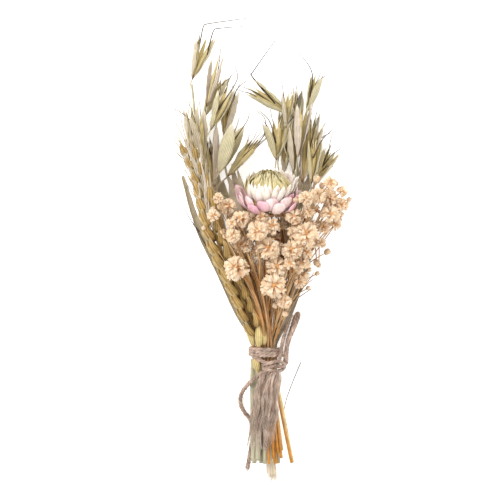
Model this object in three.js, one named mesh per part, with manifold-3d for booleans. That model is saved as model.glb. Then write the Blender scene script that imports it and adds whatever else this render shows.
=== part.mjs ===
// A small bunch of dried flowers lying on a table: oats, wheat, a strawflower, gypsophila,
// dry leaves and straws, held at the neck by three wraps of jute twine.
//
// Millimetres, +Z up. While the bunch is built, the middle of the tie is at x = 0, y = 0, the
// flower heads are towards +Y, the cut stems towards -Y, and the table is z = 0. The last lines
// move everything so that the origin is the middle of the bunch's base.
import * as THREE from "three";
import { mergeVertices } from "three/addons/utils/BufferGeometryUtils.js";
import Module from "manifold-3d";

const wasm = await Module();
wasm.setup();

// Driving dimensions.
const GAP = 0.3; // clearance between pieces that touch
const NECK_HALF_WIDTH = 6.2; // the tied bundle of stems, inside the twine
const NECK_HALF_DEPTH = 5.7;
const TWINE = 1.8; // diameter of the jute twine
const WRAPS = 3;
const NECK_Z = NECK_HALF_DEPTH + TWINE; // the neck's centre line above the table
const FOOT_Y = -50; // where most stems are cut
const FOOT_SPREAD = 1.35; // how much wider the bundle is at the foot than at the neck
const FOOT_DROP = 0.9; // and how much flatter
const LOWEST_SLOT = 2.9; // how far below the neck's centre the lowest stems pass
const OAT_STEM = 2.0;
const WHEAT_STEM = 2.3;
const FLOWER_STEM = 2.0;
const SPRIG_STEM = 1.2;
const TWIG = 0.8;
const SMALL_HEAD = 2.9; // a gypsophila flower under this radius is a plain bud
const PEDICEL = 0.9;
const LEAF_THICKNESS = 0.5;
const NARROW_END = 0.14; // the share of a blade that is folded narrow where it is tied in
const EAR_WIDTH = 7.6;
const FLOWER_RADIUS = 12;
const FLOWER_TILT = 38; // degrees from the table up to the strawflower's axis
const FLOWER_CENTRE = [0.5, 73.5, 20];
const BRACTS = 8;

const FINISH = {
  oat: ["#beae88", 0.8],
  oatStem: ["#b5a77f", 0.75],
  wheat: ["#c9a766", 0.7],
  bract: ["#eccfd0", 0.6],
  dome: ["#ddd29a", 0.7],
  sprig: ["#efd3a6", 0.85],
  leaf: ["#b3a184", 0.8],
  straw: ["#b9b08a", 0.7],
  twine: ["#a88c7c", 0.95],
};

const bunch = new THREE.Group();
const loose = new THREE.Group(); // the free ends of the twine
bunch.add(loose);

function addMesh(name, geometry, finish, parent = bunch) {
  const [color, roughness] = FINISH[finish];
  const material = new THREE.MeshStandardMaterial({ color, roughness, metalness: 0 });
  const mesh = new THREE.Mesh(geometry, material);
  mesh.name = name;
  parent.add(mesh);
  return mesh;
}

function curveThrough(points) {
  return new THREE.CatmullRomCurve3(points.map((p) => new THREE.Vector3(...p)), false, "centripetal");
}

function roundSection(radius, sides) {
  const section = new THREE.Shape();
  for (let i = 0; i < sides; i++) {
    const angle = (2 * Math.PI * i) / sides;
    const at = [radius * Math.cos(angle), radius * Math.sin(angle)];
    if (i) section.lineTo(...at);
    else section.moveTo(...at);
  }
  return section;
}

function tube(points, diameter, steps = 12, sides = 6) {
  const section = roundSection(diameter / 2, sides);
  const options = { steps, bevelEnabled: false, extrudePath: curveThrough(points) };
  return new THREE.ExtrudeGeometry(section, options);
}

// Joins closed geometries into one solid body.
function asSolid(geometry) {
  const bare = geometry.index ? geometry.toNonIndexed() : geometry.clone();
  bare.deleteAttribute("normal");
  bare.deleteAttribute("uv");
  const merged = mergeVertices(bare, 1e-4);
  const corners = merged.index.array;
  const kept = [];
  for (let i = 0; i < corners.length; i += 3) {
    const [a, b, c] = [corners[i], corners[i + 1], corners[i + 2]];
    if (a !== b && b !== c && c !== a) kept.push(a, b, c);
  }
  const mesh = new wasm.Mesh({
    numProp: 3,
    vertProperties: Float32Array.from(merged.attributes.position.array),
    triVerts: Uint32Array.from(kept),
  });
  return new wasm.Manifold(mesh);
}

function joined(geometries) {
  let whole = asSolid(geometries[0]);
  for (const geometry of geometries.slice(1)) whole = whole.add(asSolid(geometry));
  const mesh = whole.getMesh();
  const result = new THREE.BufferGeometry();
  const positions = new Float32Array(mesh.vertProperties);
  result.setAttribute("position", new THREE.BufferAttribute(positions, 3));
  result.setIndex(new THREE.BufferAttribute(new Uint32Array(mesh.triVerts), 1));
  return result;
}

// A closed spindle from the origin along +Y, thickest at the share `belly` of its length.
function spindle(length, radius, belly = 0.4, sides = 8) {
  const profile = [new THREE.Vector2(0, 0)];
  for (const share of [0.12, belly, 0.72]) {
    const fullness = share === belly ? 1 : share < belly ? 0.6 : 0.62;
    profile.push(new THREE.Vector2(radius * fullness, length * share));
  }
  profile.push(new THREE.Vector2(0, length));
  return new THREE.LatheGeometry(profile, sides);
}

function turnTo(direction) {
  return new THREE.Quaternion().setFromUnitVectors(new THREE.Vector3(0, 1, 0), direction);
}

// Lays a closed geometry, already at its place in its own frame, along a direction.
function placed(geometry, at, direction) {
  const turn = turnTo(new THREE.Vector3(...direction).normalize());
  return geometry.applyQuaternion(turn).translate(...at);
}

// The places where the stems pass through the tie, [x, height above the neck's centre].
const SLOT = {
  wheatFront: [-2.7, 2.6],
  wheatBack: [-0.2, 1.75],
  flower: [1.5, -0.35],
  oatLeft: [-3.9, 0.15],
  oatMiddle: [-1.5, -0.6],
  oatRight: [3.0, -2.2],
  strawRight: [0.4, -2.8],
  strawLeft: [-2.5, -2.9],
  sprig: [[-0.6, 3.85], [0.95, 3.7], [2.4, 3.15], [1.9, 1.6], [3.6, 2.1], [3.35, 0.5], [4.6, -0.7]],
};

// The stretch of a stem from its cut foot to just above the tie.
function below([x, up], footY = FOOT_Y, footX = 0) {
  const z = NECK_Z + up;
  const foot = [x * FOOT_SPREAD + footX, footY, OAT_STEM / 2 + (up + LOWEST_SLOT) * FOOT_DROP];
  return [foot, [x + footX * 0.2, footY * 0.4, z - 1], [x, -5, z], [x, 4, z]];
}

// Oats: each stalk is a culm with thin side branches, and each branch ends at a spikelet.
const SPIKELETS = {
  Left: [
    { at: [-33.6, 123.6, 5.5], to: [-26.1, 140, 6.5], radius: 2.4, from: 0.97 },
    { at: [-28.4, 106.6, 5.5], to: [-19.8, 124.2, 6.5], radius: 2.6, from: 0.8 },
    { at: [-28, 86, 11], to: [-31.5, 106.2, 11.5], radius: 2.2, from: 0.62 },
    { at: [-23.2, 74.5, 6.6], to: [-26, 97.6, 6.6], radius: 2.0, from: 0.52 },
    { at: [-32.4, 89, 9.4], to: [-34, 112, 9], radius: 1.8, from: 0.66 },
    { at: [-26.6, 112, 9.4], to: [-21.8, 134, 9.6], radius: 1.6, from: 0.86 },
  ],
  Middle: [
    { at: [-25.1, 101.3, 12], to: [-17.4, 116.2, 14], radius: 2.3, from: 0.93 },
    { at: [-18.9, 96.5, 5.2], to: [-16.3, 114.1, 6.5], radius: 2.2, from: 0.97 },
    { at: [-21, 81.8, 13.5], to: [-12.2, 99.9, 14], radius: 3.1, from: 0.75 },
    { at: [-17.7, 79.5, 8.5], to: [-5.5, 94.5, 8.5], radius: 2.2, from: 0.7 },
  ],
  Right: [
    { at: [11.2, 107.6, 9.4], to: [-6, 119.8, 9], radius: 2.2, from: 0.9 },
    { at: [13.6, 94.5, 4], to: [12.6, 114.7, 3.2], radius: 2.8, from: 0.97 },
    { at: [18.8, 110, 5], to: [23, 122.8, 6], radius: 2.3, from: 0.88 },
    { at: [8.8, 103, 13.4], to: [10.2, 115.2, 14.6], radius: 1.9, from: 0.86 },
    { at: [4.6, 87.4, 8.4], to: [5, 99, 10], radius: 3.3, from: 0.84 },
    { at: [6.4, 92.5, 3.2], to: [8.6, 107.6, 3.4], radius: 2.0, from: 0.8 },
    { at: [12.2, 82, 9.6], to: [13.4, 99.6, 11], radius: 2.1, from: 0.7 },
    { at: [16.3, 77.5, 9], to: [22, 99.9, 8.6], radius: 2.5, from: 0.68 },
    { at: [20.2, 77, 14.6], to: [21.6, 92.6, 14.6], radius: 1.9, from: 0.66 },
    { at: [21.2, 76, 5], to: [28.6, 88.4, 4.6], radius: 2.2, from: 0.6 },
    { at: [14.2, 90, 14.6], to: [17.2, 112, 13.6], radius: 1.9, from: 0.74 },
    { at: [19.4, 87, 2.8], to: [21.2, 107, 2.4], radius: 1.8, from: 0.72 },
    { at: [8.2, 82, 3.4], to: [10.2, 101, 7.6], radius: 1.8, from: 0.76 },
  ],
};
const OAT_PATH = {
  Left: [
    [-5.6, 11, 6], [-10.6, 22, 3.4], [-17.6, 48, 2.2], [-25, 78, 2.4], [-31, 100, 3.2], [-33.6, 122, 5.2],
  ],
  Middle: [[-4.6, 22, 2.0], [-9.2, 48, 1.9], [-14.4, 70, 2.6], [-18.4, 84, 4.2], [-18.9, 95.2, 5.1]],
  Right: [[6.2, 20, 3], [9.6, 50, 1.1], [13, 70, 1.3], [14.2, 84, 3.4], [13.7, 93.4, 3.9]],
};

let spikeletCount = 0;
for (const side of ["Left", "Middle", "Right"]) {
  const footShift = side === "Right" ? 1.6 : 0;
  const route = [...below(SLOT[`oat${side}`], FOOT_Y, footShift), ...OAT_PATH[side]];
  const pieces = [tube(route, OAT_STEM, 18)];
  const culm = curveThrough(route);
  for (const { at, to, radius, from } of SPIKELETS[side]) {
    const base = new THREE.Vector3(...at);
    const axis = new THREE.Vector3(...to).sub(base);
    const length = axis.length();
    axis.normalize();
    spikeletCount += 1;
    const name = `oat_spikelet_${String(spikeletCount).padStart(2, "0")}`;
    const spikelet = addMesh(name, spindle(length, radius), "oat");
    spikelet.position.copy(base);
    spikelet.quaternion.copy(turnTo(axis));
    const start = culm.getPointAt(from);
    const end = base.clone().addScaledVector(axis, -GAP);
    const middle = start.clone().lerp(end, 0.6).addScaledVector(axis, -0.1 * start.distanceTo(end));
    if (start.distanceTo(end) > 2 * OAT_STEM) {
      pieces.push(tube([start, middle, end].map((p) => p.toArray()), PEDICEL, 4, 5));
    }
  }
  addMesh(`oat_stalk_${side.toLowerCase()}`, joined(pieces), "oatStem");
}

// Wheat: a culm, and an ear of spikelets set left and right along its axis.
function wheatEar(route, rows, length) {
  const axis = curveThrough(route);
  const pieces = [tube(route, 0.45 * EAR_WIDTH, 8)];
  for (let row = 0; row < rows; row++) {
    const share = (row + 0.2) / (rows + 0.4);
    const along = axis.getTangentAt(share);
    const across = new THREE.Vector3(0, 0, 1).cross(along).normalize();
    const side = row % 2 ? 1 : -1;
    const small = row > rows - 3 || row < 2 ? 0.8 : 1;
    const at = axis.getPointAt(share).addScaledVector(across, side * 0.14 * EAR_WIDTH);
    const lean = along.clone().addScaledVector(across, side * 0.32);
    const grain = spindle(length * small, 0.29 * EAR_WIDTH * small, 0.42, 5);
    pieces.push(placed(grain, at.toArray(), lean.toArray()));
  }
  return joined(pieces);
}

const WHEAT_FRONT = [
  [-4.4, 9, 12.6], [-7.2, 16.2, 15], [-11.9, 27.9, 18], [-17.3, 40, 20], [-22.1, 52.2, 21],
  [-25.5, 63.9, 21], [-28.7, 76, 20], [-32.6, 86.5, 18.6], [-35.4, 93, 17.4],
];
const WHEAT_BACK = [[-2.2, 12, 8], [-4.9, 22, 7.4], [-8, 34, 7.2], [-10.6, 45, 7.4], [-12.2, 52, 7.8]];
addMesh("wheat_ear_front", wheatEar(WHEAT_FRONT, 19, 11.5), "wheat");
addMesh("wheat_ear_back", wheatEar(WHEAT_BACK, 11, 9.5), "wheat");
const frontCulm = [...below(SLOT.wheatFront, FOOT_Y + 2), [-4.2, 8.4, 12.3]];
const backCulm = [...below(SLOT.wheatBack), [-1.9, 11, 8.3]];
addMesh("wheat_stalk_front", tube(frontCulm, WHEAT_STEM, 10), "straw");
addMesh("wheat_stalk_back", tube(backCulm, WHEAT_STEM, 10), "straw");

// Strawflower: a dome on its stem, with a ring of broad bracts around it.
const tilt = THREE.MathUtils.degToRad(FLOWER_TILT);
const flowerAxis = new THREE.Vector3(0, Math.cos(tilt), Math.sin(tilt));
const flowerCentre = new THREE.Vector3(...FLOWER_CENTRE);
const domeProfile = [[0, -7], [4, -6.4], [9.4, -3], [FLOWER_RADIUS, 1], [11, 4], [7, 6.6], [0, 8]];
const dome = new THREE.LatheGeometry(domeProfile.map((p) => new THREE.Vector2(...p)), 16);
const head = addMesh("strawflower_head", dome, "dome");
head.position.copy(flowerCentre);
head.quaternion.copy(turnTo(flowerAxis));
const flowerFrame = new THREE.Group();
flowerFrame.position.copy(flowerCentre);
flowerFrame.quaternion.copy(turnTo(flowerAxis));
bunch.add(flowerFrame);
for (let i = 0; i < BRACTS; i++) {
  const spoke = new THREE.Group();
  spoke.rotation.y = (2 * Math.PI * (i + 0.5)) / BRACTS;
  flowerFrame.add(spoke);
  const shape = new THREE.SphereGeometry(1, 10, 6).scale(1.1, 6.4, 4.7);
  const bract = addMesh(`strawflower_bract_${i + 1}`, shape, "bract", spoke);
  bract.position.set(FLOWER_RADIUS + 1.9, 0.6, 0);
  bract.rotation.z = -0.22;
}
const stemTop = flowerCentre.clone().addScaledVector(flowerAxis, -7 - GAP);
const stemNeck = stemTop.clone().addScaledVector(flowerAxis, -6);
const flowerRoute = [
  ...below(SLOT.flower, FOOT_Y + 4, -1.7),
  [2, 24, 8], [1.6, 46, 9.4], stemNeck.toArray(), stemTop.toArray(),
];
addMesh("strawflower_stem", tube(flowerRoute, FLOWER_STEM, 18), "straw");

// Gypsophila: each sprig is a wiry stem that forks into twigs, with a double flower on each.
// A flower is [x, y, z, radius], and the main stem runs to the first one.
const SPRIGS = [
  { via: [[-1.4, 14, 18], [-5.5, 28, 25]], heads: [
    [-13.2, 39, 30, 4.6], [-14.6, 53, 31, 2.8], [-15.4, 58.6, 30, 2.1], [-21, 69.6, 29, 2.1],
    [-23.3, 62, 29.4, 2.4]] },
  { via: [[0.6, 14, 17], [-3, 32, 24]], heads: [
    [-10.4, 49, 23.4, 3.6], [-11.4, 60.4, 27.2, 3.2], [-17, 66.4, 24.8, 3.1], [-4, 55, 30.4, 3.8]] },
  { via: [[1.2, 14, 14.6], [0, 30, 20]], heads: [
    [0.8, 47.2, 27.4, 4.3], [4.6, 39.4, 25.6, 3.8], [2.6, 57, 25.6, 3.1], [-4, 45.4, 20.6, 3.0],
    [-1.6, 61.4, 24.6, 2.5], [6.2, 47.4, 21.4, 2.3]] },
  { via: [[4, 12, 12.4], [5.6, 22, 19.5]], heads: [
    [3.2, 31, 27.6, 4.6], [7.9, 24.2, 24.6, 2.7], [9.6, 37.4, 19, 2.4], [-3.4, 37.4, 18, 2.8],
    [10.2, 40.8, 27.6, 2.4]] },
  { via: [[6, 14, 12.6], [9.6, 28, 17]], heads: [
    [11.4, 46.8, 27, 3.6], [17.6, 53.6, 27.8, 4.7], [15.6, 41, 21.4, 3.2], [14.6, 33, 17.6, 2.7],
    [17.8, 45.4, 22.4, 2.6]] },
  { via: [[6.4, 16, 9.4], [11, 38, 12]], heads: [
    [12.4, 61.4, 24, 3.2], [18.6, 63.6, 26, 2.3], [17.4, 69.6, 31.6, 2.7], [22.8, 70.8, 24, 3.1],
    [22.6, 78.4, 22, 1.8], [28.4, 76.4, 24.6, 2.6], [12.2, 54.6, 23.4, 2.6]] },
  { via: [[7.2, 15, 6.6], [13.6, 38, 8]], heads: [
    [27.6, 70.6, 18, 3.6], [33, 66.8, 15, 3.2], [28.4, 62.6, 21.6, 3.5], [25.6, 57, 14, 2.7],
    [23, 41, 9, 1.6], [33.8, 73, 21, 2.2], [31, 58.4, 14, 2.5], [24.4, 50, 16, 2.2]] },
];
SPRIGS.forEach(({ via, heads }, i) => {
  const [main, ...others] = heads;
  const footShift = i === SPRIGS.length - 1 ? 5.6 : 2.2;
  const route = [...below(SLOT.sprig[i], FOOT_Y + (i % 3) * 2.5, footShift), ...via, main.slice(0, 3)];
  const pieces = [tube(route, SPRIG_STEM, 14, 5)];
  const stem = curveThrough(route);
  others.forEach(([x, y, z], k) => {
    const start = stem.getPointAt(0.7 + 0.06 * (k % 5));
    const bend = start.clone().lerp(new THREE.Vector3(x, y, z), 0.5);
    bend.add(new THREE.Vector3(0, 0.8, 0.6));
    pieces.push(tube([start.toArray(), bend.toArray(), [x, y, z]], TWIG, 5, 5));
  });
  for (const [x, y, z, radius] of heads) {
    const flower = new THREE.IcosahedronGeometry(radius, radius > SMALL_HEAD ? 1 : 0);
    pieces.push(flower.scale(1, 0.92, 0.86).translate(x, y, z));
  }
  addMesh(`gypsophila_sprig_${i + 1}`, joined(pieces), "sprig");
});

// Leaves and bare straws. A blade is a box bent along a curve: widest in its middle, flat side up.
// Where the curve comes down to the table, the blade lies flat on it.
const LYING = LEAF_THICKNESS / 2; // the height of a blade's middle where it lies on the table
function blade(points, width, steps = 14) {
  const curve = curveThrough(points);
  const box = new THREE.BoxGeometry(1, 1, LEAF_THICKNESS, 1, steps, 1);
  const place = box.attributes.position;
  for (let i = 0; i < place.count; i++) {
    const share = place.getY(i) + 0.5;
    const along = curve.getTangentAt(share);
    const across = along.clone().cross(new THREE.Vector3(0, 0, 1)).normalize();
    const up = across.clone().cross(along).normalize();
    const beyond = Math.max(0, (share - NARROW_END) / (1.03 - NARROW_END));
    const wide = width * (0.2 + 0.8 * Math.sin(Math.PI * beyond));
    const spot = curve.getPointAt(share);
    if (spot.z < LYING + 0.01) {
      spot.z = LYING;
      up.set(0, 0, 1);
    }
    spot.addScaledVector(across, place.getX(i) * wide).addScaledVector(up, place.getZ(i));
    place.setXYZ(i, spot.x, spot.y, spot.z);
  }
  return box;
}

const leafUnder = [
  [-0.2, -6, NECK_Z - 4.35], [-0.8, 6, NECK_Z - 4.35], [-4.2, 20, 0.9],
  [-7, 30, LYING], [-13, 52, LYING], [-20, 78, LYING],
];
const leafLeft = [
  [-4.5, -4, NECK_Z - 1.8], [-4.6, 5, NECK_Z - 1.8], [-9.6, 12, 4.6], [-13.8, 20, 6.2],
  [-21.5, 38, 8], [-31, 58, 9], [-37.6, 80, 12],
];
const leafRight = [
  [4.75, -4, NECK_Z + 0.75], [4.8, 5, NECK_Z + 0.75], [9.4, 16, 8.6],
  [14, 29, 9], [18.6, 42, 8.2], [21.4, 51, 8],
];
addMesh("leaf_under", blade(leafUnder, 5), "leaf");
addMesh("leaf_left", blade(leafLeft, 3.6), "leaf");
addMesh("leaf_right", blade(leafRight, 4.6), "leaf");
const strawLeft = [
  ...below(SLOT.strawLeft, FOOT_Y + 1),
  [-5.4, 11, 3.3], [-7.6, 20, 2.6], [-10.8, 34, 2.2], [-15.4, 54, 2.6],
];
const strawRight = [...below(SLOT.strawRight, FOOT_Y - 6, 2.7), [1, 18, 1.4], [4, 36, 1], [7.4, 62, 1]];
addMesh("straw_left", tube(strawLeft, FLOWER_STEM, 12), "straw");
addMesh("straw_right", tube(strawRight, FLOWER_STEM, 12), "straw");

// Twine: the wraps are one ridged ring around the neck, with the knot against their front.
const ringProfile = [];
const inner = 1;
for (let wrap = 0; wrap < WRAPS; wrap++) {
  const y = (wrap - (WRAPS - 1) / 2) * TWINE * 0.9;
  for (const angle of [-50, 0, 50]) {
    const turn = THREE.MathUtils.degToRad(angle);
    const reach = TWINE * (0.5 + 0.5 * Math.cos(turn));
    ringProfile.push([inner, reach, y + 0.5 * TWINE * Math.sin(turn)]);
  }
}
const lowEnd = ringProfile[0][2];
const highEnd = ringProfile[ringProfile.length - 1][2];
const neckRadius = NECK_HALF_WIDTH;
const outline = ringProfile.map(([, reach, y]) => new THREE.Vector2(neckRadius + reach, y));
outline.unshift(new THREE.Vector2(neckRadius, lowEnd));
outline.push(new THREE.Vector2(neckRadius, highEnd));
outline.push(outline[0].clone());
const ring = new THREE.LatheGeometry(outline, 24);
ring.scale(1, 1, (NECK_HALF_DEPTH + TWINE) / (NECK_HALF_WIDTH + TWINE));
const wraps = addMesh("twine_wraps", ring, "twine");
wraps.position.set(0, 0.8, NECK_Z);

const knot = new THREE.SphereGeometry(1, 12, 8).scale(3.6, 2.3, 2.3);
const knotMesh = addMesh("twine_knot", knot, "twine");
knotMesh.position.set(5.4, -5.2, 13.4);
knotMesh.rotation.y = 0.5;

// The free ends of the twine, each along its own route.
const LEFT_TAIL = [
  [1.9, -6.2, 14.8], [-0.4, -7.6, 14.4], [-3.2, -9.5, 13], [-6, -11.8, 10.6], [-8.6, -14.6, 7.2],
  [-10.6, -17.6, 4], [-11.6, -20.8, 1.9], [-11.3, -24, 1.1], [-9.9, -26.9, 1], [-8, -29.2, 1],
  [-6.6, -31.6, 1], [-6, -34.6, 1], [-6.1, -38, 1], [-6.5, -41.6, 1], [-7.1, -45.2, 1],
  [-7.7, -48.8, 1], [-8.3, -52.6, 1],
];
const BOW_LOOP = [
  [8.9, -3.6, 11.2], [8.8, -1, 11.8], [9.2, 2, 12], [10, 5.4, 11.9], [11.3, 8.8, 11.6],
  [12.7, 12, 11.1], [13.9, 14.7, 10.2], [14.6, 16.9, 8.6], [14.6, 18, 6.4], [13.9, 17.3, 4.1],
  [13, 15.1, 2.3], [12.2, 12.3, 1.3], [11.2, 9, 1], [10.2, 5.8, 1], [9.7, 2.6, 1.3],
  [9.4, -0.4, 2.6], [9.3, -2.8, 4.8], [9.1, -4.2, 7.4],
];
const FRAYED_TAIL = [
  [4.2, -8, 15.2], [3.6, -9.8, 15.4], [3, -12, 15.3], [2.5, -14.2, 15.1], [2.1, -16.4, 14.8],
  [1.8, -18.8, 14.5], [1.6, -21.2, 14.2], [1.3, -23.8, 13.9], [1.1, -26.4, 13.5], [0.7, -29, 13.1],
  [0.4, -31.6, 12.7], [0.2, -34, 12.4], [0.1, -36.4, 12.1], [0, -38.6, 11.8], [0, -40.8, 11.6],
  [-0.1, -42.8, 11.3],
];
addMesh("twine_left_tail", tube(LEFT_TAIL, TWINE, 24, 8), "twine", loose);
addMesh("twine_bow_loop", tube(BOW_LOOP, TWINE, 24, 8), "twine", loose);
addMesh("twine_frayed_tail", tube(FRAYED_TAIL, TWINE, 12, 8), "twine", loose);

// Origin: the middle of the base of the bunch, without the free ends of the twine.
bunch.remove(loose);
bunch.updateMatrixWorld(true);
const box = new THREE.Box3().setFromObject(bunch, true);
bunch.add(loose);
bunch.position.set(-(box.min.x + box.max.x) / 2, -(box.min.y + box.max.y) / 2, -box.min.z);
bunch.updateMatrixWorld(true);

export default bunch;
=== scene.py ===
# %% [markdown]
# # A bunch of dried flowers in Blender
# Oats, wheat, a strawflower and gypsophila, tied with jute twine and lying on a table.
# Everything here is dry plant: thin papery husks, straws and twigs. So nearly every piece is
# either a tube that follows a line or a narrow blade that follows a line. Two good helpers,
# a tube and a blade, carry most of the lesson.

import math
import random

import bmesh
import bpy
from mathutils import Matrix, Vector, noise


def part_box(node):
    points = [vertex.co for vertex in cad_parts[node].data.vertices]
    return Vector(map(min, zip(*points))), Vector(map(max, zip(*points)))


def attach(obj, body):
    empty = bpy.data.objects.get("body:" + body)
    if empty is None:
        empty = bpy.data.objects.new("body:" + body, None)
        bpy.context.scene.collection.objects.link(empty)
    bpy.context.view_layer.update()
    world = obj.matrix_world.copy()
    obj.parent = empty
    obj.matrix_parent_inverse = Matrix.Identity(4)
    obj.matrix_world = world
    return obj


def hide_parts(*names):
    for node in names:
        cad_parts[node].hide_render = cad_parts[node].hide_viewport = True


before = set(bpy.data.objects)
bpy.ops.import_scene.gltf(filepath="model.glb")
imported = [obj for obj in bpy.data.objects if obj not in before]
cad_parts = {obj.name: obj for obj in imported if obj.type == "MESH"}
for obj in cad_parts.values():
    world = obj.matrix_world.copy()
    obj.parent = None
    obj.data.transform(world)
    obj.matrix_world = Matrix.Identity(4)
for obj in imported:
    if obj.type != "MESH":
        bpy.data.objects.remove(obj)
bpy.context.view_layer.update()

MM = 0.001
wrap_low, wrap_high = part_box("twine_wraps")
TIE_AHEAD = 0.8  # the wraps sit this far towards the heads from the middle of the tie, in mm
TIE = Vector((
    (wrap_low[0] + wrap_high[0]) / 2,
    (wrap_low[1] + wrap_high[1]) / 2 - TIE_AHEAD * MM,
    0,
))
NECK_Z = (wrap_low[2] + wrap_high[2]) / 2 / MM
print("the tie is at", [round(c, 4) for c in TIE], "and its middle is", round(NECK_Z, 2), "mm up")


def spot(x, y, z):
    """A place given in millimetres from the tie, in the frame's metres."""
    return TIE + Vector((x, y, z)) * MM


# %% [markdown]
# ## The camera
# The bunch lies on its back, so the camera hangs straight above it. A long lens keeps the
# high flowers from growing against the stems.

# %% The camera
VIEW_WIDTH = 0.225
LENS = 135
SENSOR = 36
view_middle = spot(-7.2, 46.8, 12)
camera_data = bpy.data.cameras.new("camera")
camera_data.lens = LENS
camera_data.sensor_width = SENSOR
camera_data.clip_end = 10
camera = bpy.data.objects.new("camera", camera_data)
camera_height = VIEW_WIDTH / SENSOR * LENS
camera.location = view_middle + Vector((0, 0, camera_height))
bpy.context.scene.collection.objects.link(camera)
bpy.context.scene.camera = camera
print("the camera hangs", round(camera_height, 3), "m above the bunch")

# %% [markdown]
# ## How a piece is finished
# Every piece is grown in a bmesh and then turned into a mesh object with its materials. A piece
# of the bunch rides on the root of the frame, and the CAD nodes that it stands for are hidden.
# A dry bunch lies on the table and never in it, so any point that dips below is lifted.

# %% How a piece is finished
ON_THE_TABLE = 0.03 * MM


def finished(bm, name, materials, slot, stands_for=(), smooth=True):
    """Turns a bmesh into a piece of the bunch, with its materials and its place in the frame."""
    bmesh.ops.recalc_face_normals(bm, faces=bm.faces)
    if slot:
        for vert in bm.verts:
            vert.co.z = max(vert.co.z, ON_THE_TABLE)
    mesh = bpy.data.meshes.new(name)
    bm.to_mesh(mesh)
    bm.free()
    for material in materials:
        mesh.materials.append(material)
    mesh.polygons.foreach_set("use_smooth", [smooth] * len(mesh.polygons))
    piece = bpy.data.objects.new(name, mesh)
    bpy.context.scene.collection.objects.link(piece)
    if slot:
        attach(piece, "root")
        if stands_for:
            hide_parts(*stands_for)
    return piece


print("a piece is lifted to", ON_THE_TABLE, "m where it would dip into the table")

# %% [markdown]
# ## Materials, table and light
# Each material starts from the same surface shader, a dull one, because nothing dry shines. The
# table is plain and nearly white. The light comes from a large soft panel up and to the left,
# with a bright sky around it, so that shadows are short and open.

# %% Materials, table and light


def nodes_of(name, roughness=0.8):
    """A new material, and its nodes, links and surface shader."""
    material = bpy.data.materials.new(name)
    material.use_nodes = True
    tree = material.node_tree
    shader = tree.nodes["Principled BSDF"]
    shader.inputs["Roughness"].default_value = roughness
    shader.inputs["Specular IOR Level"].default_value = 0.25
    return material, tree.nodes, tree.links, shader


def srgb(red, green, blue):
    """A colour given as 0 to 255, as the linear numbers that Blender works in."""
    shares = [channel / 255 for channel in (red, green, blue)]
    linear = [c / 12.92 if c <= 0.04045 else ((c + 0.055) / 1.055) ** 2.4 for c in shares]
    return (*linear, 1)


def table_material():
    """A plain, nearly white surface that glows a little, so that its far edges stay white."""
    material, nodes, links, shader = nodes_of("white_table", 0.9)
    grain = nodes.new("ShaderNodeTexNoise")
    grain.inputs["Scale"].default_value = 60
    place = nodes.new("ShaderNodeTexCoord")
    ramp = nodes.new("ShaderNodeValToRGB")
    ramp.color_ramp.elements[0].color = (0.93, 0.93, 0.93, 1)
    ramp.color_ramp.elements[1].color = (0.96, 0.96, 0.96, 1)
    links.new(place.outputs["Object"], grain.inputs["Vector"])
    links.new(grain.outputs["Fac"], ramp.inputs["Fac"])
    links.new(ramp.outputs["Color"], shader.inputs["Base Color"])
    shader.inputs["Emission Color"].default_value = (1, 1, 1, 1)
    shader.inputs["Emission Strength"].default_value = 0.5
    return material


table_bm = bmesh.new()
bmesh.ops.create_grid(table_bm, x_segments=1, y_segments=1, size=3)
table = finished(table_bm, "table", [table_material()], None)

world = bpy.data.worlds.new("studio")
world.use_nodes = True
world.node_tree.nodes["Background"].inputs["Color"].default_value = (1, 1, 1, 1)
world.node_tree.nodes["Background"].inputs["Strength"].default_value = 0.98
bpy.context.scene.world = world
bpy.context.scene.view_settings.view_transform = "Standard"


def panel(name, place, size, watts):
    """A square soft light that looks at the middle of the bunch."""
    data = bpy.data.lights.new(name, "AREA")
    data.size = size
    data.energy = watts
    lamp = bpy.data.objects.new(name, data)
    lamp.location = view_middle + Vector(place)
    lamp.rotation_euler = (-Vector(place)).to_track_quat("-Z", "Y").to_euler()
    bpy.context.scene.collection.objects.link(lamp)
    return lamp


panel("key_panel", (-0.5, 0.5, 0.9), 0.5, 6.5)
panel("fill_panel", (0.8, -0.3, 0.8), 0.8, 2)
print("lit by", len(bpy.data.lights), "panels and a white sky")

# %% [markdown]
# ## A line to follow
# Every stem, husk and thread follows a line. A few given points are joined by a smooth
# Catmull-Rom curve, which passes through each of them, and the curve is then cut into even
# steps. Going along it, a frame of two directions is carried from step to step without
# twisting, so that tubes don't wring themselves.

# %% A line to follow


def smooth_line(points, steps):
    """Evenly spaced places on a smooth curve through the points."""
    spots = [Vector(p) for p in points]
    ends = [2 * spots[0] - spots[1], *spots, 2 * spots[-1] - spots[-2]]
    dense = []
    for k in range(1, len(ends) - 2):
        before, start, end, after = ends[k - 1 : k + 3]
        for i in range(12):
            t = i / 12
            dense.append(0.5 * (
                2 * start + (end - before) * t
                + (2 * before - 5 * start + 4 * end - after) * t * t
                + (3 * start - before - 3 * end + after) * t ** 3
            ))
    dense.append(spots[-1])
    lengths = [0.0]
    for a, b in zip(dense, dense[1:]):
        lengths.append(lengths[-1] + (b - a).length)
    line, k = [], 0
    for i in range(steps + 1):
        goal = lengths[-1] * i / steps
        while k < len(lengths) - 2 and lengths[k + 1] < goal:
            k += 1
        span = lengths[k + 1] - lengths[k]
        share = (goal - lengths[k]) / span if span > 0 else 0
        line.append(dense[k].lerp(dense[k + 1], min(1, share)))
    return line


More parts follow.
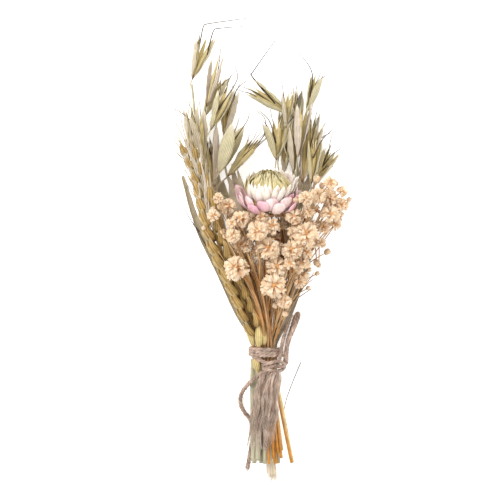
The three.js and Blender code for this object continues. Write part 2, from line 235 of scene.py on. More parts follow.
def carried_frames(line, first_up=Vector((0, 0, 1))):
    """For each place on the line: the way along it, a sideways direction and an up direction."""
    frames = []
    up = first_up
    for k, place in enumerate(line):
        along = (line[min(k + 1, len(line) - 1)] - line[max(k - 1, 0)]).normalized()
        up = up - along * up.dot(along)
        if up.length < 1e-9:
            up = along.orthogonal()
        up.normalize()
        frames.append((along, along.cross(up), up))
    return frames


def length_of(line):
    """The length of a line, in metres."""
    return sum((b - a).length for a, b in zip(line, line[1:]))


def through(points, steps):
    """A smooth line through places that are given in millimetres from the tie."""
    return smooth_line([spot(*p) for p in points], steps)


def stem_line(route, step=1.5):
    """The same, cut into steps of about that many millimetres."""
    return through(route, max(6, int(length_of(through(route, 40)) / MM / step)))


trial_line = through([(0, 0, 0), (3, 10, 0), (0, 20, 0)], 12)
print("a trial line of three points is", round(length_of(trial_line) / MM, 1), "mm long")

# %% [markdown]
# ## The tube
# A straw, a twig and a thread are all tubes. One ring of edges is made with the circle
# operator, then extruded from step to step, and each new ring is moved to its place on the
# line. Both ends are capped. While it grows, each point notes where it is on the tube, in
# millimetres: across, up and along. Materials read that note, called grain, so that fibres
# run with the stem however it bends. Two more notes are tone, which makes each tube a little
# different from its neighbours, and share, which goes from 0 at the root to 1 at the tip.
# Each tube grows in a small bmesh of its own and is then added to its piece, because
# operators are slow on a big one.

# %% The tube


def notes(bm):
    """The three notes that points carry for the materials: grain, tone and share."""
    layers = bm.verts.layers
    return (
        layers.float_vector.get("grain") or layers.float_vector.new("grain"),
        layers.float.get("tone") or layers.float.new("tone"),
        layers.float.get("share") or layers.float.new("share"),
    )


def add_to(piece_bm, part_bm, finish):
    """Adds a small bmesh to a piece's bmesh, with the number of the material it wears."""
    for face in part_bm.faces:
        face.material_index = finish
    bmesh.ops.recalc_face_normals(part_bm, faces=part_bm.faces)
    loose = bpy.data.meshes.new("loose")
    part_bm.to_mesh(loose)
    part_bm.free()
    piece_bm.from_mesh(loose)
    bpy.data.meshes.remove(loose)


def tube(piece_bm, line, radius, sides=6, tone=0.5, finish=0, oval=1.0, turn=0.0, hollow=0.0):
    """Adds a closed tube along the line. radius is a number, or a function of the share along,
    and finish says which of the piece's materials it wears. A hollow tube's first end is a cut
    straw: it has a wall and a hole of that depth."""
    bm = bmesh.new()
    grain_note, tone_note, share_note = notes(bm)
    size = radius if callable(radius) else lambda share: radius
    ring = bmesh.ops.create_circle(bm, cap_ends=True, segments=sides, radius=1)["verts"]
    first_cap = bm.faces[:] if hollow else []
    edges = bm.edges[:]
    travelled = 0.0
    for k, (along, side, above) in enumerate(carried_frames(line)):
        if k:
            travelled += (line[k] - line[k - 1]).length
            grown = bmesh.ops.extrude_edge_only(bm, edges=edges)["geom"]
            edges = [g for g in grown if isinstance(g, bmesh.types.BMEdge)]
            fresh = {g for g in grown if isinstance(g, bmesh.types.BMVert)}
            ring = [next(e.other_vert(v) for e in v.link_edges if e.other_vert(v) in fresh) for v in ring]
        share = k / (len(line) - 1)
        width = size(share)
        for i, v in enumerate(ring):
            angle = 2 * math.pi * i / sides + turn
            across, rise = width * math.cos(angle), width * oval * math.sin(angle)
            v.co = line[k] + side * across + above * rise
            v[grain_note] = Vector((across, rise, travelled)) / MM
            v[tone_note] = tone
            v[share_note] = share
    bmesh.ops.contextual_create(bm, geom=edges)
    if first_cap:
        bmesh.ops.inset_region(bm, faces=first_cap, thickness=size(0) * 0.3)
        inward = (line[1] - line[0]).normalized() * hollow
        pushed = bmesh.ops.extrude_face_region(bm, geom=first_cap)["geom"]
        bmesh.ops.delete(bm, geom=first_cap, context="FACES_ONLY")
        bmesh.ops.translate(bm, verts=[g for g in pushed if isinstance(g, bmesh.types.BMVert)], vec=inward)
    add_to(piece_bm, bm, finish)


def tapering(thick, thin, power=1.0):
    """A radius that shrinks from thick to thin, in millimetres."""
    return lambda share: (thick + (thin - thick) * share ** power) * MM


def new_piece():
    """An empty bmesh that is ready to take tubes and blades."""
    bm = bmesh.new()
    notes(bm)
    return bm


trial_bm = new_piece()
tube(trial_bm, trial_line, tapering(1, 0.5))
print("a trial tube has", len(trial_bm.faces), "faces")
trial_bm.free()

# %% [markdown]
# ## The blade
# A husk, a petal and a leaf are all blades: a small grid laid along a line. Across the blade
# the grid is bent round an arc, so a husk is a boat and a petal is a spoon. The width follows
# a profile along the blade. The edges can be waved, and the sheet is given a real thickness
# with the solidify operator, so that it is a closed solid like everything else.

# %% The blade


def pointed(peak=0.35, power=0.8):
    """A width profile that swells to 1 at the share peak and runs out to a point."""
    bend = math.log(0.5) / math.log(peak)
    return lambda share: max(0.015, math.sin(math.pi * min(1, max(0, share)) ** bend) ** power)


def rounded(neck=0.45):
    """A width profile with a narrow foot and a broad round tip."""
    return lambda share: max(0.05, (neck + (1 - neck) * math.sin(math.pi / 2 * min(1, share * 1.6)))
                             * math.sqrt(max(0, 1 - max(0, (share - 0.62) / 0.385) ** 2)))


def fan(foot=0.3):
    """A width profile that opens from a narrow foot to a broad tip."""
    return lambda share: foot + (1 - foot) * share ** 1.3


def narrowing(loss):
    """A width profile that loses that share of its width on its way."""
    return lambda share: 1 - loss * share


def blade(piece_bm, line, half_width, curl=0.6, profile=None, inward=Vector((0, 0, 1)), columns=4,
          thickness=0.14, tone=0.5, finish=0, wave=0.0, teeth=0.0, twist=0.0, crumple=0.0, seed=0):
    """Adds a thin blade along the line. inward is the side that its arc opens to, half_width and
    thickness are in millimetres, curl is half the angle of its arc, wave ruffles its edges and
    crumple dents it all over."""
    bm = bmesh.new()
    rows = len(line) - 1
    grain_note, tone_note, share_note = notes(bm)
    made = bmesh.ops.create_grid(bm, x_segments=columns, y_segments=rows, size=0.5)["verts"]
    shape = profile or pointed()
    frames = carried_frames(line, inward)
    whole = length_of(line) / MM
    for v in made:
        across = v.co.x * 2
        k = round((v.co.y + 0.5) * rows)
        share = k / rows
        along, side, above = frames[k]
        if twist:
            turned = Matrix.Rotation(twist * share, 3, along)
            side, above = turned @ side, turned @ above
        wide = half_width * shape(share)
        bend = max(0.01, curl)
        reach = wide / bend * math.sin(across * bend)
        rise = wide / bend * (1 - math.cos(across * bend))
        rise += wave * across * across * math.sin(share * 17 + seed * 2.1 + across * 1.3)
        if crumple:
            rise += crumple * noise.noise(Vector((across * wide * 0.5, share * whole * 0.35, seed * 3.3)))
        ahead = teeth * (1 if round((across + 1) * columns / 2) % 2 else -1) if k == rows else 0
        v.co = line[k] + (side * reach + above * rise + along * ahead) * MM
        v[grain_note] = Vector((across * half_width, seed * 3.7, share * whole))
        v[tone_note] = tone
        v[share_note] = share
    bmesh.ops.solidify(bm, geom=bm.faces[:], thickness=thickness * MM)
    add_to(piece_bm, bm, finish)


trial_bm = new_piece()
blade(trial_bm, trial_line, 2)
print("a trial blade has", len(trial_bm.faces), "faces")
trial_bm.free()

# %% [markdown]
# ## A finish for dry plants
# Straw, husk, petal and jute have one thing in common: fine streaks that run lengthwise. One
# recipe makes them all. A noise texture is read from the grain note, squeezed across and
# stretched along, so it turns into streaks. The streaks choose between a dark and a light
# colour, the tone note moves the whole piece between two families of colour, and the share
# note can tint the root or the tip. The same streaks push the surface in and out as a bump.

# %% A finish for dry plants
RIB_WIDTH = 0.314  # the wave texture's scale that gives one rib to a millimetre
SOAK_DEPTH = 0.5 * MM
RELIEF_DEPTH = 0.3 * MM


def plant(name, dark, light, other_dark, other_light, root=None, tip=None, streaks=(1.6, 0.05),
          veins=0.0, roughness=0.75, bump=0.35, mottle=0.25, root_reach=0.3, tip_reach=0.75, thin=0.0):
    """A streaky dry-plant finish. The colours are 0 to 255. Tone 0 wears dark and light, and
    tone 1 wears other_dark and other_light. veins is how many fine ribs there are to a millimetre,
    and thin is how readily light soaks through, as it does in petals."""
    material, nodes, links, shader = nodes_of(name, roughness)

    def note(which):
        """A node that reads one of the notes that the points carry."""
        reader = nodes.new("ShaderNodeAttribute")
        reader.attribute_name = which
        return reader

    def mixed(factor, first, second, blend="MIX"):
        """Two colours mixed. Each input is a plain value or another node's output."""
        mix = nodes.new("ShaderNodeMix")
        mix.data_type = "RGBA"
        mix.blend_type = blend
        for socket, value in ((mix.inputs[0], factor), (mix.inputs[6], first), (mix.inputs[7], second)):
            if isinstance(value, (tuple, float, int)):
                socket.default_value = value
            else:
                links.new(value, socket)
        return mix.outputs[2]

    def ramp(value, low, high, low_end=0.0, high_end=1.0):
        """A value that goes softly from low_end to high_end between low and high."""
        chooser = nodes.new("ShaderNodeMapRange")
        ends = {"From Min": low, "From Max": high, "To Min": low_end, "To Max": high_end}
        for socket, number in ends.items():
            chooser.inputs[socket].default_value = number
        chooser.interpolation_type = "SMOOTHSTEP"
        links.new(value, chooser.inputs["Value"])
        return chooser.outputs["Result"]

    grain, tone, share = note("grain"), note("tone"), note("share")
    squeeze = nodes.new("ShaderNodeMapping")
    squeeze.inputs["Scale"].default_value = (streaks[0], streaks[0], streaks[1])
    links.new(grain.outputs["Vector"], squeeze.inputs["Vector"])
    streak = nodes.new("ShaderNodeTexNoise")
    streak.inputs["Scale"].default_value = 1.0
    streak.inputs["Detail"].default_value = 3.0
    links.new(squeeze.outputs["Vector"], streak.inputs["Vector"])
    share_of_light = ramp(streak.outputs["Fac"], 0.36, 0.64)
    rise = streak.outputs["Fac"]
    if veins:
        ribs = nodes.new("ShaderNodeTexWave")
        ribs.bands_direction = "X"
        ribs.inputs["Scale"].default_value = RIB_WIDTH * veins
        ribs.inputs["Distortion"].default_value = 0.6
        links.new(grain.outputs["Vector"], ribs.inputs["Vector"])
        share_of_light = ramp(mixed(0.55, streak.outputs["Color"], ribs.outputs["Color"]), 0.3, 0.72)
        rise = mixed(0.6, streak.outputs["Color"], ribs.outputs["Color"])
    colour = mixed(
        tone.outputs["Fac"],
        mixed(share_of_light, srgb(*dark), srgb(*light)),
        mixed(share_of_light, srgb(*other_dark), srgb(*other_light)),
    )
    if root:
        colour = mixed(ramp(share.outputs["Fac"], 0.0, root_reach, 1.0, 0.0), colour, srgb(*root))
    if tip:
        colour = mixed(ramp(share.outputs["Fac"], tip_reach, 1.0), colour, srgb(*tip))
    place = nodes.new("ShaderNodeTexCoord")
    patch = nodes.new("ShaderNodeTexNoise")
    patch.inputs["Scale"].default_value = 260
    links.new(place.outputs["Object"], patch.inputs["Vector"])
    shade = ramp(patch.outputs["Fac"], 0.35, 0.7, 1 - mottle, 1.0)
    colour = mixed(1.0, colour, shade, "MULTIPLY")
    links.new(colour, shader.inputs["Base Color"])
    relief = nodes.new("ShaderNodeBump")
    relief.inputs["Strength"].default_value = bump
    relief.inputs["Distance"].default_value = RELIEF_DEPTH
    links.new(rise, relief.inputs["Height"])
    links.new(relief.outputs["Normal"], shader.inputs["Normal"])
    if thin:
        shader.inputs["Subsurface Weight"].default_value = thin
        shader.inputs["Subsurface Radius"].default_value = (0.9, 0.95, 1.0)
        shader.inputs["Subsurface Scale"].default_value = SOAK_DEPTH
    return material


print("the recipe is ready; so far there is", len(bpy.data.materials), "material, the table's")

# %% [markdown]
# ## The finishes
# Seventeen finishes come out of that recipe, each with its own four colours. Old jute is a
# pinkish grey-brown, husks are a papery grey-green, ripe wheat is a dull gold, and the
# gypsophila has faded to the colour of cream and peach.

# %% The finishes
JUTE = plant("jute", (146, 116, 100), (200, 172, 154), (176, 148, 130), (230, 208, 190),
             streaks=(5, 0.5), roughness=0.95, bump=0.9, mottle=0.35)
FIBRE = plant("jute_fibre", (150, 120, 102), (190, 162, 144), (214, 188, 168), (242, 224, 206),
              streaks=(5, 0.3), roughness=0.9, bump=0.5, mottle=0.3, thin=0.2)
HUSK = plant("oat_husk", (176, 166, 128), (224, 214, 178), (186, 168, 150), (230, 216, 198),
             root=(196, 160, 116), tip=(234, 222, 198), veins=1.3, bump=0.35, root_reach=0.12,
             mottle=0.15, thin=0.35)
FLORET = plant("oat_floret", (204, 186, 128), (232, 216, 168), (196, 172, 108), (228, 206, 148),
               root=(184, 132, 76), tip=(238, 224, 184), veins=1.2, bump=0.4, root_reach=0.2)
AWN = plant("oat_awn", (54, 43, 36), (88, 71, 60), (80, 66, 56), (118, 101, 87),
            tip=(130, 114, 100), tip_reach=0.5)
STRAW = plant("straw", (162, 156, 128), (202, 196, 166), (214, 196, 160), (246, 234, 210),
              streaks=(2.4, 0.04))
# The dark brown root colour is painted shade between the grains. It lies at the foot of each grain and its
# cover, and along the low end of the ear's axis.
WHEAT = plant("wheat_grain", (150, 117, 62), (186, 153, 92), (164, 133, 76), (198, 168, 110),
              root=(104, 74, 40), tip=(206, 184, 140), veins=0.9, bump=0.45, root_reach=0.25)
CHAFF = plant("wheat_chaff", (180, 152, 102), (214, 190, 142), (168, 152, 106), (202, 188, 144),
              root=(180, 148, 102), tip=(230, 214, 182), veins=1.1)
LEAF = plant("leaf", (176, 160, 138), (208, 192, 168), (188, 178, 144), (222, 210, 178), veins=1.3,
             streaks=(1.8, 0.06), bump=0.5)
TWIG = plant("gypsophila_twig", (158, 108, 60), (206, 156, 104), (206, 172, 122), (238, 212, 170),
             root=(206, 140, 62), root_reach=0.36)
PITH = plant("straw_pith", (228, 202, 172), (248, 230, 208), (238, 214, 188), (252, 240, 222),
             streaks=(2.4, 0.1))
YELLOW_STRAW = plant("yellow_straw", (204, 146, 66), (232, 184, 104), (232, 200, 132),
                     (250, 228, 172), streaks=(2.4, 0.1))
# Dark brown for the gypsophila's low leaves. It is partly their own colour and partly painted shade deep
# in the middle of the bunch.
BROWN_LEAF_AND_SHADE = plant("brown_leaf_and_painted_shade", (132, 86, 44), (176, 126, 78), (150, 104, 60), (190, 146, 98),
                   veins=1.2, bump=0.5)
# The petals' root colour is painted shade deep inside the flowers. It is a deeper orange-brown at the foot
# of each petal, under each bud and on each flower's middle ball.
PETAL = plant("gypsophila_petal", (245, 210, 168), (254, 237, 213), (239, 192, 144), (250, 224, 190),
              root=(225, 170, 112), streaks=(2.2, 0.5), mottle=0.1, bump=0.15, root_reach=0.3,
              thin=0.35)
PINK = plant("pink_bract", (250, 220, 216), (255, 240, 232), (238, 174, 194), (249, 208, 214),
             root=(252, 240, 228), tip=(220, 148, 170), streaks=(1.4, 0.08), mottle=0.06,
             roughness=0.5, bump=0.2, root_reach=0.4, tip_reach=0.93, thin=0.3)
CREAM = plant("cream_bract", (240, 228, 204), (254, 250, 236), (244, 224, 218), (253, 242, 238),
              root=(228, 212, 166), tip=(254, 248, 238), streaks=(1.6, 0.08), mottle=0.06,
              roughness=0.5, bump=0.2, thin=0.3)
GREENISH = plant("dome_bract", (186, 166, 108), (224, 208, 152), (210, 194, 144), (240, 228, 190),
                 root=(170, 146, 92), tip=(234, 222, 180), streaks=(2.0, 0.1), mottle=0.15,
                 roughness=0.6)
print("made", len(bpy.data.materials) - 1, "finishes for the bunch")

# %% [markdown]
# ## The twine's free ends
# Jute twine is three plies laid round each other, and each ply is a bundle of hairy fibres. A
# cord has a fixed length, so its route comes first: a smooth line through given points that
# starts at the knot and comes to rest on the table or on the stems.

# %% The twine's free ends
TWINE = 1.8
PLY_SHARE = 0.27  # a ply's radius, as a share of the twine's diameter
LAY = 5.6  # one turn of the plies in millimetres
HAIR_LENGTH = (0.9, 1.9)
LOOSENED = 1.15  # the free ends are this much fatter, because nothing pulls them tight
COMBED_FIBRES = 46
LEFT_TAIL = [
    (1.9, -6.2, 14.8), (-0.4, -7.6, 14.4), (-3.2, -9.5, 13), (-6, -11.8, 10.6), (-8.6, -14.6, 7.2),
    (-10.6, -17.6, 4), (-11.6, -20.8, 1.9), (-11.3, -24, 1.1), (-9.9, -26.9, 1), (-8, -29.2, 1),
    (-6.6, -31.6, 1), (-6, -34.6, 1), (-6.1, -38, 1), (-6.5, -41.6, 1), (-7.1, -45.2, 1),
    (-7.7, -48.8, 1), (-8.3, -52.6, 1),
]
BOW_LOOP = [
    (8.9, -3.6, 11.2), (8.8, -1, 11.8), (9.2, 2, 12), (10, 5.4, 11.9), (11.3, 8.8, 11.6),
    (12.7, 12, 11.1), (13.9, 14.7, 10.2), (14.6, 16.9, 8.6), (14.6, 18, 6.4), (13.9, 17.3, 4.1),
    (13, 15.1, 2.3), (12.2, 12.3, 1.3), (11.2, 9, 1), (10.2, 5.8, 1), (9.7, 2.6, 1.3),
    (9.4, -0.4, 2.6), (9.3, -2.8, 4.8), (9.1, -4.2, 7.4),
]
FRAYED_TAIL = [
    (4.2, -8, 15.2), (3.6, -9.8, 15.4), (3, -12, 15.3), (2.5, -14.2, 15.1), (2.1, -16.4, 14.8),
    (1.8, -18.8, 14.5), (1.6, -21.2, 14.2), (1.3, -23.8, 13.9), (1.1, -26.4, 13.5), (0.7, -29, 13.1),
    (0.4, -31.6, 12.7), (0.2, -34, 12.4), (0.1, -36.4, 12.1), (0, -38.6, 11.8), (0, -40.8, 11.6),
    (-0.1, -42.8, 11.3),
]


def wound(line, radius, turns, start=0.0):
    """A line that winds around another one."""
    path = []
    for k, (along, side, above) in enumerate(carried_frames(line)):
        angle = start + 2 * math.pi * turns * k / (len(line) - 1)
        path.append(line[k] + (side * math.cos(angle) + above * math.sin(angle)) * radius)
    return path


print("the twine ends have", len(LEFT_TAIL), len(BOW_LOOP), len(FRAYED_TAIL), "points")

# %% [markdown]
# ## Winding the plies
# Three tubes are wound around the twine's middle line, a third of a turn apart, and short loose
# fibres stand off it. A bare end is combed out a little, as a cut end of jute soon is.

# %% Winding the plies


def hair(bm, start, direction, length, rng, radius=0.05, tone=0.5, sag=0.3, finish=0):
    """One loose fibre, wavy and thin."""
    side = direction.orthogonal().normalized()
    other = direction.cross(side)
    spots = []
    for k in range(5):
        t = k / 4
        drift = side * rng.uniform(-0.25, 0.25) + other * rng.uniform(-0.25, 0.25)
        spots.append(start + (direction * t + drift * t - Vector((0, 0, sag * t * t))) * length)
    for point in spots:
        point.z = max(point.z, radius * MM)
    tube(bm, smooth_line(spots, 6), tapering(radius, radius * 0.5), 3, tone, finish)


def jute(bm, line, diameter, rng, hairs=1.0):
    """Twisted three-ply twine along a line, with that many loose fibres to a millimetre."""
    length = length_of(line) / MM
    for ply in range(3):
        path = wound(line, diameter * (0.5 - PLY_SHARE) * MM, length / LAY, 2 * math.pi * ply / 3)
        swell = rng.uniform(0, 6)
        size = lambda share: diameter * (PLY_SHARE + 0.018 * math.sin(share * length * 0.9 + swell)) * MM
        tube(bm, path, size, 8, rng.uniform(0.1, 0.9))
    frames = carried_frames(line)
    for _ in range(int(length * hairs)):
        k = rng.randrange(1, len(line) - 1)
        along, side, above = frames[k]
        angle = rng.uniform(0, 2 * math.pi)
        out = side * math.cos(angle) + above * math.sin(angle)
        lean = (out * 0.5 + along * rng.uniform(-1, 1)).normalized()
        foot = line[k] + out * diameter * 0.42 * MM
        hair(bm, foot, lean, rng.uniform(*HAIR_LENGTH) * MM, rng, 0.04, rng.random())


def twine_piece(name, route, seed, far_end, node):
    """A free end of the twine."""
    rng = random.Random(seed)
    line = through(route, int(length_of(through(route, 20)) / MM * 1.6))
    bm = new_piece()
    jute(bm, line, TWINE * LOOSENED, rng)
    if far_end == "bare":
        way = (line[-1] - line[-2]).normalized()
        for _ in range(COMBED_FIBRES):
            aside = Vector([rng.uniform(-1, 1) for _ in range(3)])
            root = line[-rng.randrange(2, 9)] + aside * 0.4 * TWINE * MM
            lean = (way + aside * 0.22).normalized()
            hair(bm, root, lean, rng.uniform(1.6, 3.0) * MM, rng, 0.08, rng.random(), 0)
    piece = finished(bm, name, [JUTE], "jute", [node])
    print(name, "is", round(length_of(line) / MM), "mm long")


twine_piece("twine_left_end", LEFT_TAIL, 1, "bare", "twine_left_tail")
twine_piece("twine_bow", BOW_LOOP, 2, "object", "twine_bow_loop")

# %% [markdown]
# ## The frayed end
# The third free end lies on top of the stems and has come undone. Locks of wavy fibres leave
# the knot side by side and hang down over the stems. The fibres of a lock share their waves
# and nearly share their tone, so that the locks stay apart to the eye.

# %% The frayed end
LOCKS = 17
FIBRES_IN_A_LOCK = 14
FRAY_REACH = 5.3  # how far the outermost locks hang from the middle, in mm


def fray(bm, core, rng):
    """Locks of fibres over the core: a lock's lane goes from -1 on the left to 1 on the right."""
    for lock in range(LOCKS):
        lane = (lock + 0.5) / LOCKS * 2 - 1
        lock_tone = rng.uniform(0, 1)
        lock_phase = rng.uniform(0, 6.3)
        lock_drift = rng.gauss(-0.3, 0.9)
        lock_lift = rng.uniform(-0.5, 0.6)
        for _ in range(FIBRES_IN_A_LOCK):
            first = rng.uniform(0, 0.1) if rng.random() < 0.8 else rng.uniform(0.1, 0.6)
            last = rng.uniform(0.7, 1.04) - 0.12 * max(0, lane)
            crimp = rng.uniform(0.25, 0.55)
            phase = lock_phase + rng.uniform(-0.7, 0.7)
            own_lane = lane + rng.uniform(-0.1, 0.1)
            lift = lock_lift + rng.uniform(-0.3, 0.3)
            spots = []
            for i in range(13):
                share = first + (last - first) * i / 12
                middle = core[min(len(core) - 1, int(share * (len(core) - 1)))]
                gather = 0.8 + 0.2 * min(1, share * 4)
                side = FRAY_REACH * own_lane * gather - 1.7 + 0.4 * share + lock_drift * share
                side += crimp * math.sin(phase + share * 15)
                across = side - 0.4
                rise = 1.0 + lift - 0.06 * across * across - 0.8 * share
                rise += 0.2 * math.sin(phase * 2 + i)
                spots.append(middle + Vector((side, -1.2 * max(0, share - 0.96), rise)) * MM)
            tone = min(1, max(0, lock_tone + rng.uniform(-0.25, 0.25)))
            tube(bm, smooth_line(spots, 28), tapering(rng.uniform(0.09, 0.18), 0.05), 4, tone)


twine_core = through(FRAYED_TAIL, 58)
fibre_bm = new_piece()
fray(fibre_bm, twine_core, random.Random(5))
fibres = finished(fibre_bm, "twine_frayed_fibres", [FIBRE], "jute")
twine_piece("twine_frayed_end", FRAYED_TAIL, 3, "bare", "twine_frayed_tail")

# %% [markdown]
# ## The tie
# Three turns of the same twine run round the neck of the bunch. Their line is a flattened
# helix whose ends tuck in under the neighbouring turns. The knot is four short runs of twine on
# the front of the stems: one bent over itself, one under it, one that runs up under the right
# leaf and one that crosses over from the turns on the left.

# %% The tie
neck_wide = (wrap_high[0] - wrap_low[0]) / 2 - TWINE / 2 * MM
neck_deep = (wrap_high[2] - wrap_low[2]) / 2 - TWINE / 2 * MM
TURNS = 3.02
TURNS_SPAN = 3.9  # from the first turn's middle to the last one's, in mm
TUCKED = 0.10  # how far the two ends tuck in, as a share of the neck's width
WRAP_STEPS = 219
wrap_line = []
for k in range(WRAP_STEPS + 1):
    share = k / WRAP_STEPS
    angle = 2 * math.pi * TURNS * share - 1.3
    dip = TUCKED if share < 0.03 or share > 0.97 else 0.0
    wobble = 0.12 * math.sin(angle * 2.3)
    wrap_line.append(TIE + Vector((
        neck_wide * (1 - dip) * math.cos(angle),
        (TIE_AHEAD + (share - 0.5) * TURNS_SPAN + wobble) * MM,
        NECK_Z * MM + neck_deep * (1 - dip) * math.sin(angle),
    )))
tie_bm = new_piece()
tie_rng = random.Random(8)
jute(tie_bm, wrap_line, TWINE, tie_rng, hairs=1.2)
finished(tie_bm, "twine_turns", [JUTE], "jute", ["twine_wraps"])

KNOT = [
    [(-1.6, -5.2, 13.4), (0.4, -4.4, 14.6), (2.6, -3.6, 15.4), (5.0, -3.0, 15.2), (7.2, -3.6, 14.0),
     (8.3, -5.0, 12.8), (7.6, -6.8, 12.4), (5.6, -7.5, 13.4), (3.2, -7.3, 14.8), (0.8, -7.0, 15.2),
     (-1.0, -6.6, 14.4), (-1.4, -5.6, 13.2)],
    [(8.9, -4.2, 11.4), (7.7, -5.3, 13.4), (6.0, -5.4, 14.9), (4.0, -5.2, 15.3), (2.0, -5.5, 14.7),
     (-0.2, -6.4, 14.2), (1.9, -6.4, 15.0)],
    [(5.2, -5.0, 13.6), (5.9, -2.6, 14.2), (6.4, 0.2, 14.2), (6.9, 3.0, 13.4), (7.8, 6.6, 11.6),
     (9.0, 10.6, 9.8), (10.4, 14.6, 8.2), (11.4, 17.6, 7.2)],
    [(-6.7, 0.4, 8.4), (-5.6, -1.2, 11.6), (-3.2, -2.4, 13.5), (-0.6, -3.6, 14.3), (2.4, -4.4, 14.3)],
]
knot_bm = new_piece()
for route in KNOT:
    jute(knot_bm, through(route, 34), TWINE, tie_rng, hairs=1.4)
finished(knot_bm, "twine_crossing", [JUTE], "jute", ["twine_knot"])
print("the tie goes round", round(length_of(wrap_line) / MM), "mm")

# %% [markdown]
# ## Straws through the tie
# Each stem has its own place in the neck of the bunch. Below the tie the stems spread a little
# and end at a clean cut, which shows that a straw is hollow. Above it each one goes its own way.
# A culm tapers and swells at its joints.

# %% Straws through the tie
NECK = {
    "wheat_front": (-2.7, 2.6), "wheat_back": (-0.2, 1.75), "flower": (1.5, -0.35),
    "oat_left": (-3.9, 0.15), "oat_middle": (-1.5, -0.6), "oat_right": (3.0, -2.2),
    "straw_right": (0.4, -2.8), "straw_left": (-2.5, -2.9),
}
LOWEST = 2.9  # the lowest stem lies that far under the neck's middle
FOOT_Y = -50
FOOT_SPREAD = 1.35
STRAW_HOLE = 2 * MM


def below(place, foot_y=FOOT_Y, foot_x=0.0):
    """The stretch of a stem from its cut foot to just above the tie."""
    x, up = place
    z = NECK_Z + up
    foot = (x * FOOT_SPREAD + foot_x, foot_y, 1 + (up + LOWEST) * 0.9)
    return [foot, (x + foot_x * 0.2, foot_y * 0.4, z - 1), (x, -5, z), (x, 4, z)]


def culm(thick, thin, joints=()):
    """A straw's radius in millimetres: it tapers, and swells at its joints."""
    def size(share):
        """The radius at that share of the way from the foot."""
        swell = sum(0.3 * math.exp(-((share - joint) / 0.01) ** 2) for joint in joints)
        return (thick + (thin - thick) * share) * (1 + swell) * MM
    return size


def straw(name, route, thick, thin, tone, node, joints=(0.62,)):
    """A single bare stem."""
    bm = new_piece()
    tube(bm, stem_line(route), culm(thick, thin, joints), 10, tone, hollow=STRAW_HOLE)
    finished(bm, name, [STRAW], "straw", [node])


straw("wheat_straw_front", below(NECK["wheat_front"], FOOT_Y + 2) + [(-4.2, 8.4, 12.3)],
      1.15, 1.1, 0.3, "wheat_stalk_front", (0.4,))
straw("wheat_straw_back", below(NECK["wheat_back"]) + [(-1.9, 11, 8.3)],
      1.15, 1.05, 0.1, "wheat_stalk_back", (0.3,))
straw("strawflower_stalk", below(NECK["flower"], FOOT_Y + 4, -1.7)
      + [(2, 24, 8), (1.6, 46, 9.4), (0.5, 63.2, 12), (0.5, 67.6, 15.4)],
      1.0, 0.95, 0.8, "strawflower_stem")
straw("bare_straw_left", below(NECK["straw_left"], FOOT_Y + 1)
      + [(-5.4, 11, 3.3), (-7.6, 20, 2.6), (-10.8, 34, 2.2), (-15.4, 54, 2.6)],
      1.0, 0.8, 0.2, "straw_left")
straw("bare_straw_right", below(NECK["straw_right"], FOOT_Y - 6, 2.7)
      + [(1, 18, 1.4), (4, 36, 1), (7.4, 62, 1)],
      1.0, 0.85, 1.0, "straw_right")
print("five bare stems run through the tie")

# %% [markdown]
# ## Split straws at the foot
# Where the stems were cut, one straw has split into pale pointed strips that show its pith. Flat
# yellow strips of straw lie among the orange twigs on the right, and grey sheaths wrap the
# stems on the left. All of them are blades with a plain even width or a pointed one.

# %% Split straws at the foot
split_bm = new_piece()
DOWN = Vector((0, 0, -1))
UP = Vector((0, 0, 1))
# how far a strip leans sideways, how high its tip lies and how far it reaches
SPLITS = [(-1.8, 0.6, 55.4), (-0.9, 1.4, 57.6), (0.1, 0.7, 59.2), (1.0, 1.5, 58.4), (1.9, 0.8, 59.6)]
for spread, tip_z, reach in SPLITS:
    split = [(2.2 + spread * 0.2, -44, 1.6), (2.3 + spread * 0.5, -49, tip_z + 0.4),
             (2.4 + spread * 0.9, -54, tip_z + 0.1), (2.6 + spread * 1.25, -reach, tip_z)]
    blade(split_bm, through(split, 12), 1.1, 0.8, pointed(0.5, 0.6), DOWN, 6, 0.25, 1.0, 2,
          crumple=0.4, seed=7)
# route, half width and tone
YELLOW_STRAWS = [
    ([(4.4, -13, 6.6), (6.5, -22, 5.2), (8.6, -32.6, 3.4), (10.4, -42, 2.8), (12.0, -50.2, 2.0)],
     1.15, 1.0),
    ([(3.4, -15, 8), (4.9, -26, 6.4), (6.2, -36, 4.4), (7.3, -44.4, 3)], 0.8, 0.6),
    ([(3.0, -20, 8.4), (4.3, -32, 6.2), (4.4, -42, 3.6), (3.6, -51, 2)], 0.9, 0.0),
    ([(3.8, -22, 7.4), (5.4, -34, 5), (5.8, -50.4, 2)], 0.7, 0.1),
]
for route, half_width, tone in YELLOW_STRAWS:
    blade(split_bm, stem_line(route, 2), half_width, 0.6, narrowing(0.1), DOWN, 6, 0.25, tone, 1,
          crumple=0.25, seed=3)
# how far to the side, where it starts and ends along the bunch, and its tone
SHEATHS = [(-0.9, -1.5, -47.5, 0.0), (-1.9, -2.5, -49.0, 0.15), (0.6, -3, -46, 0.05)]
for side, start_y, end_y, tone in SHEATHS:
    sheath = [(-4.3 + side, start_y, 7.2), (-4.7 + side, start_y - 12, 6.6),
              (-4.6 + side, (start_y + end_y) / 2, 5.6), (-4.9 + side * 0.8, end_y, 3.6)]
    blade(split_bm, through(sheath, 18), 1.7, 1.3, narrowing(0.25), Vector((0.5, 0, -0.8)), 6,
          0.2, tone, 0, crumple=0.4, seed=9)
finished(split_bm, "split_straws_at_the_foot", [STRAW, YELLOW_STRAW, PITH], "straw")
print("the foot has", len(SPLITS), "splits,", len(YELLOW_STRAWS), "strips and", len(SHEATHS), "sheaths")

# %% [markdown]
# ## Oats
# An oat stalk is a culm with hair-thin side branches. Each branch nods and ends at a spikelet:
# two papery glumes, shaped like boats, that stand open like a beak; a fan of golden florets
# between them; and from the florets long dark awns, which are stiff at first and fine as
# hair at the end. The table gives each spikelet its place, its size and its character. The
# awns that stand out against the sky have routes of their own, by the number of their spikelet.

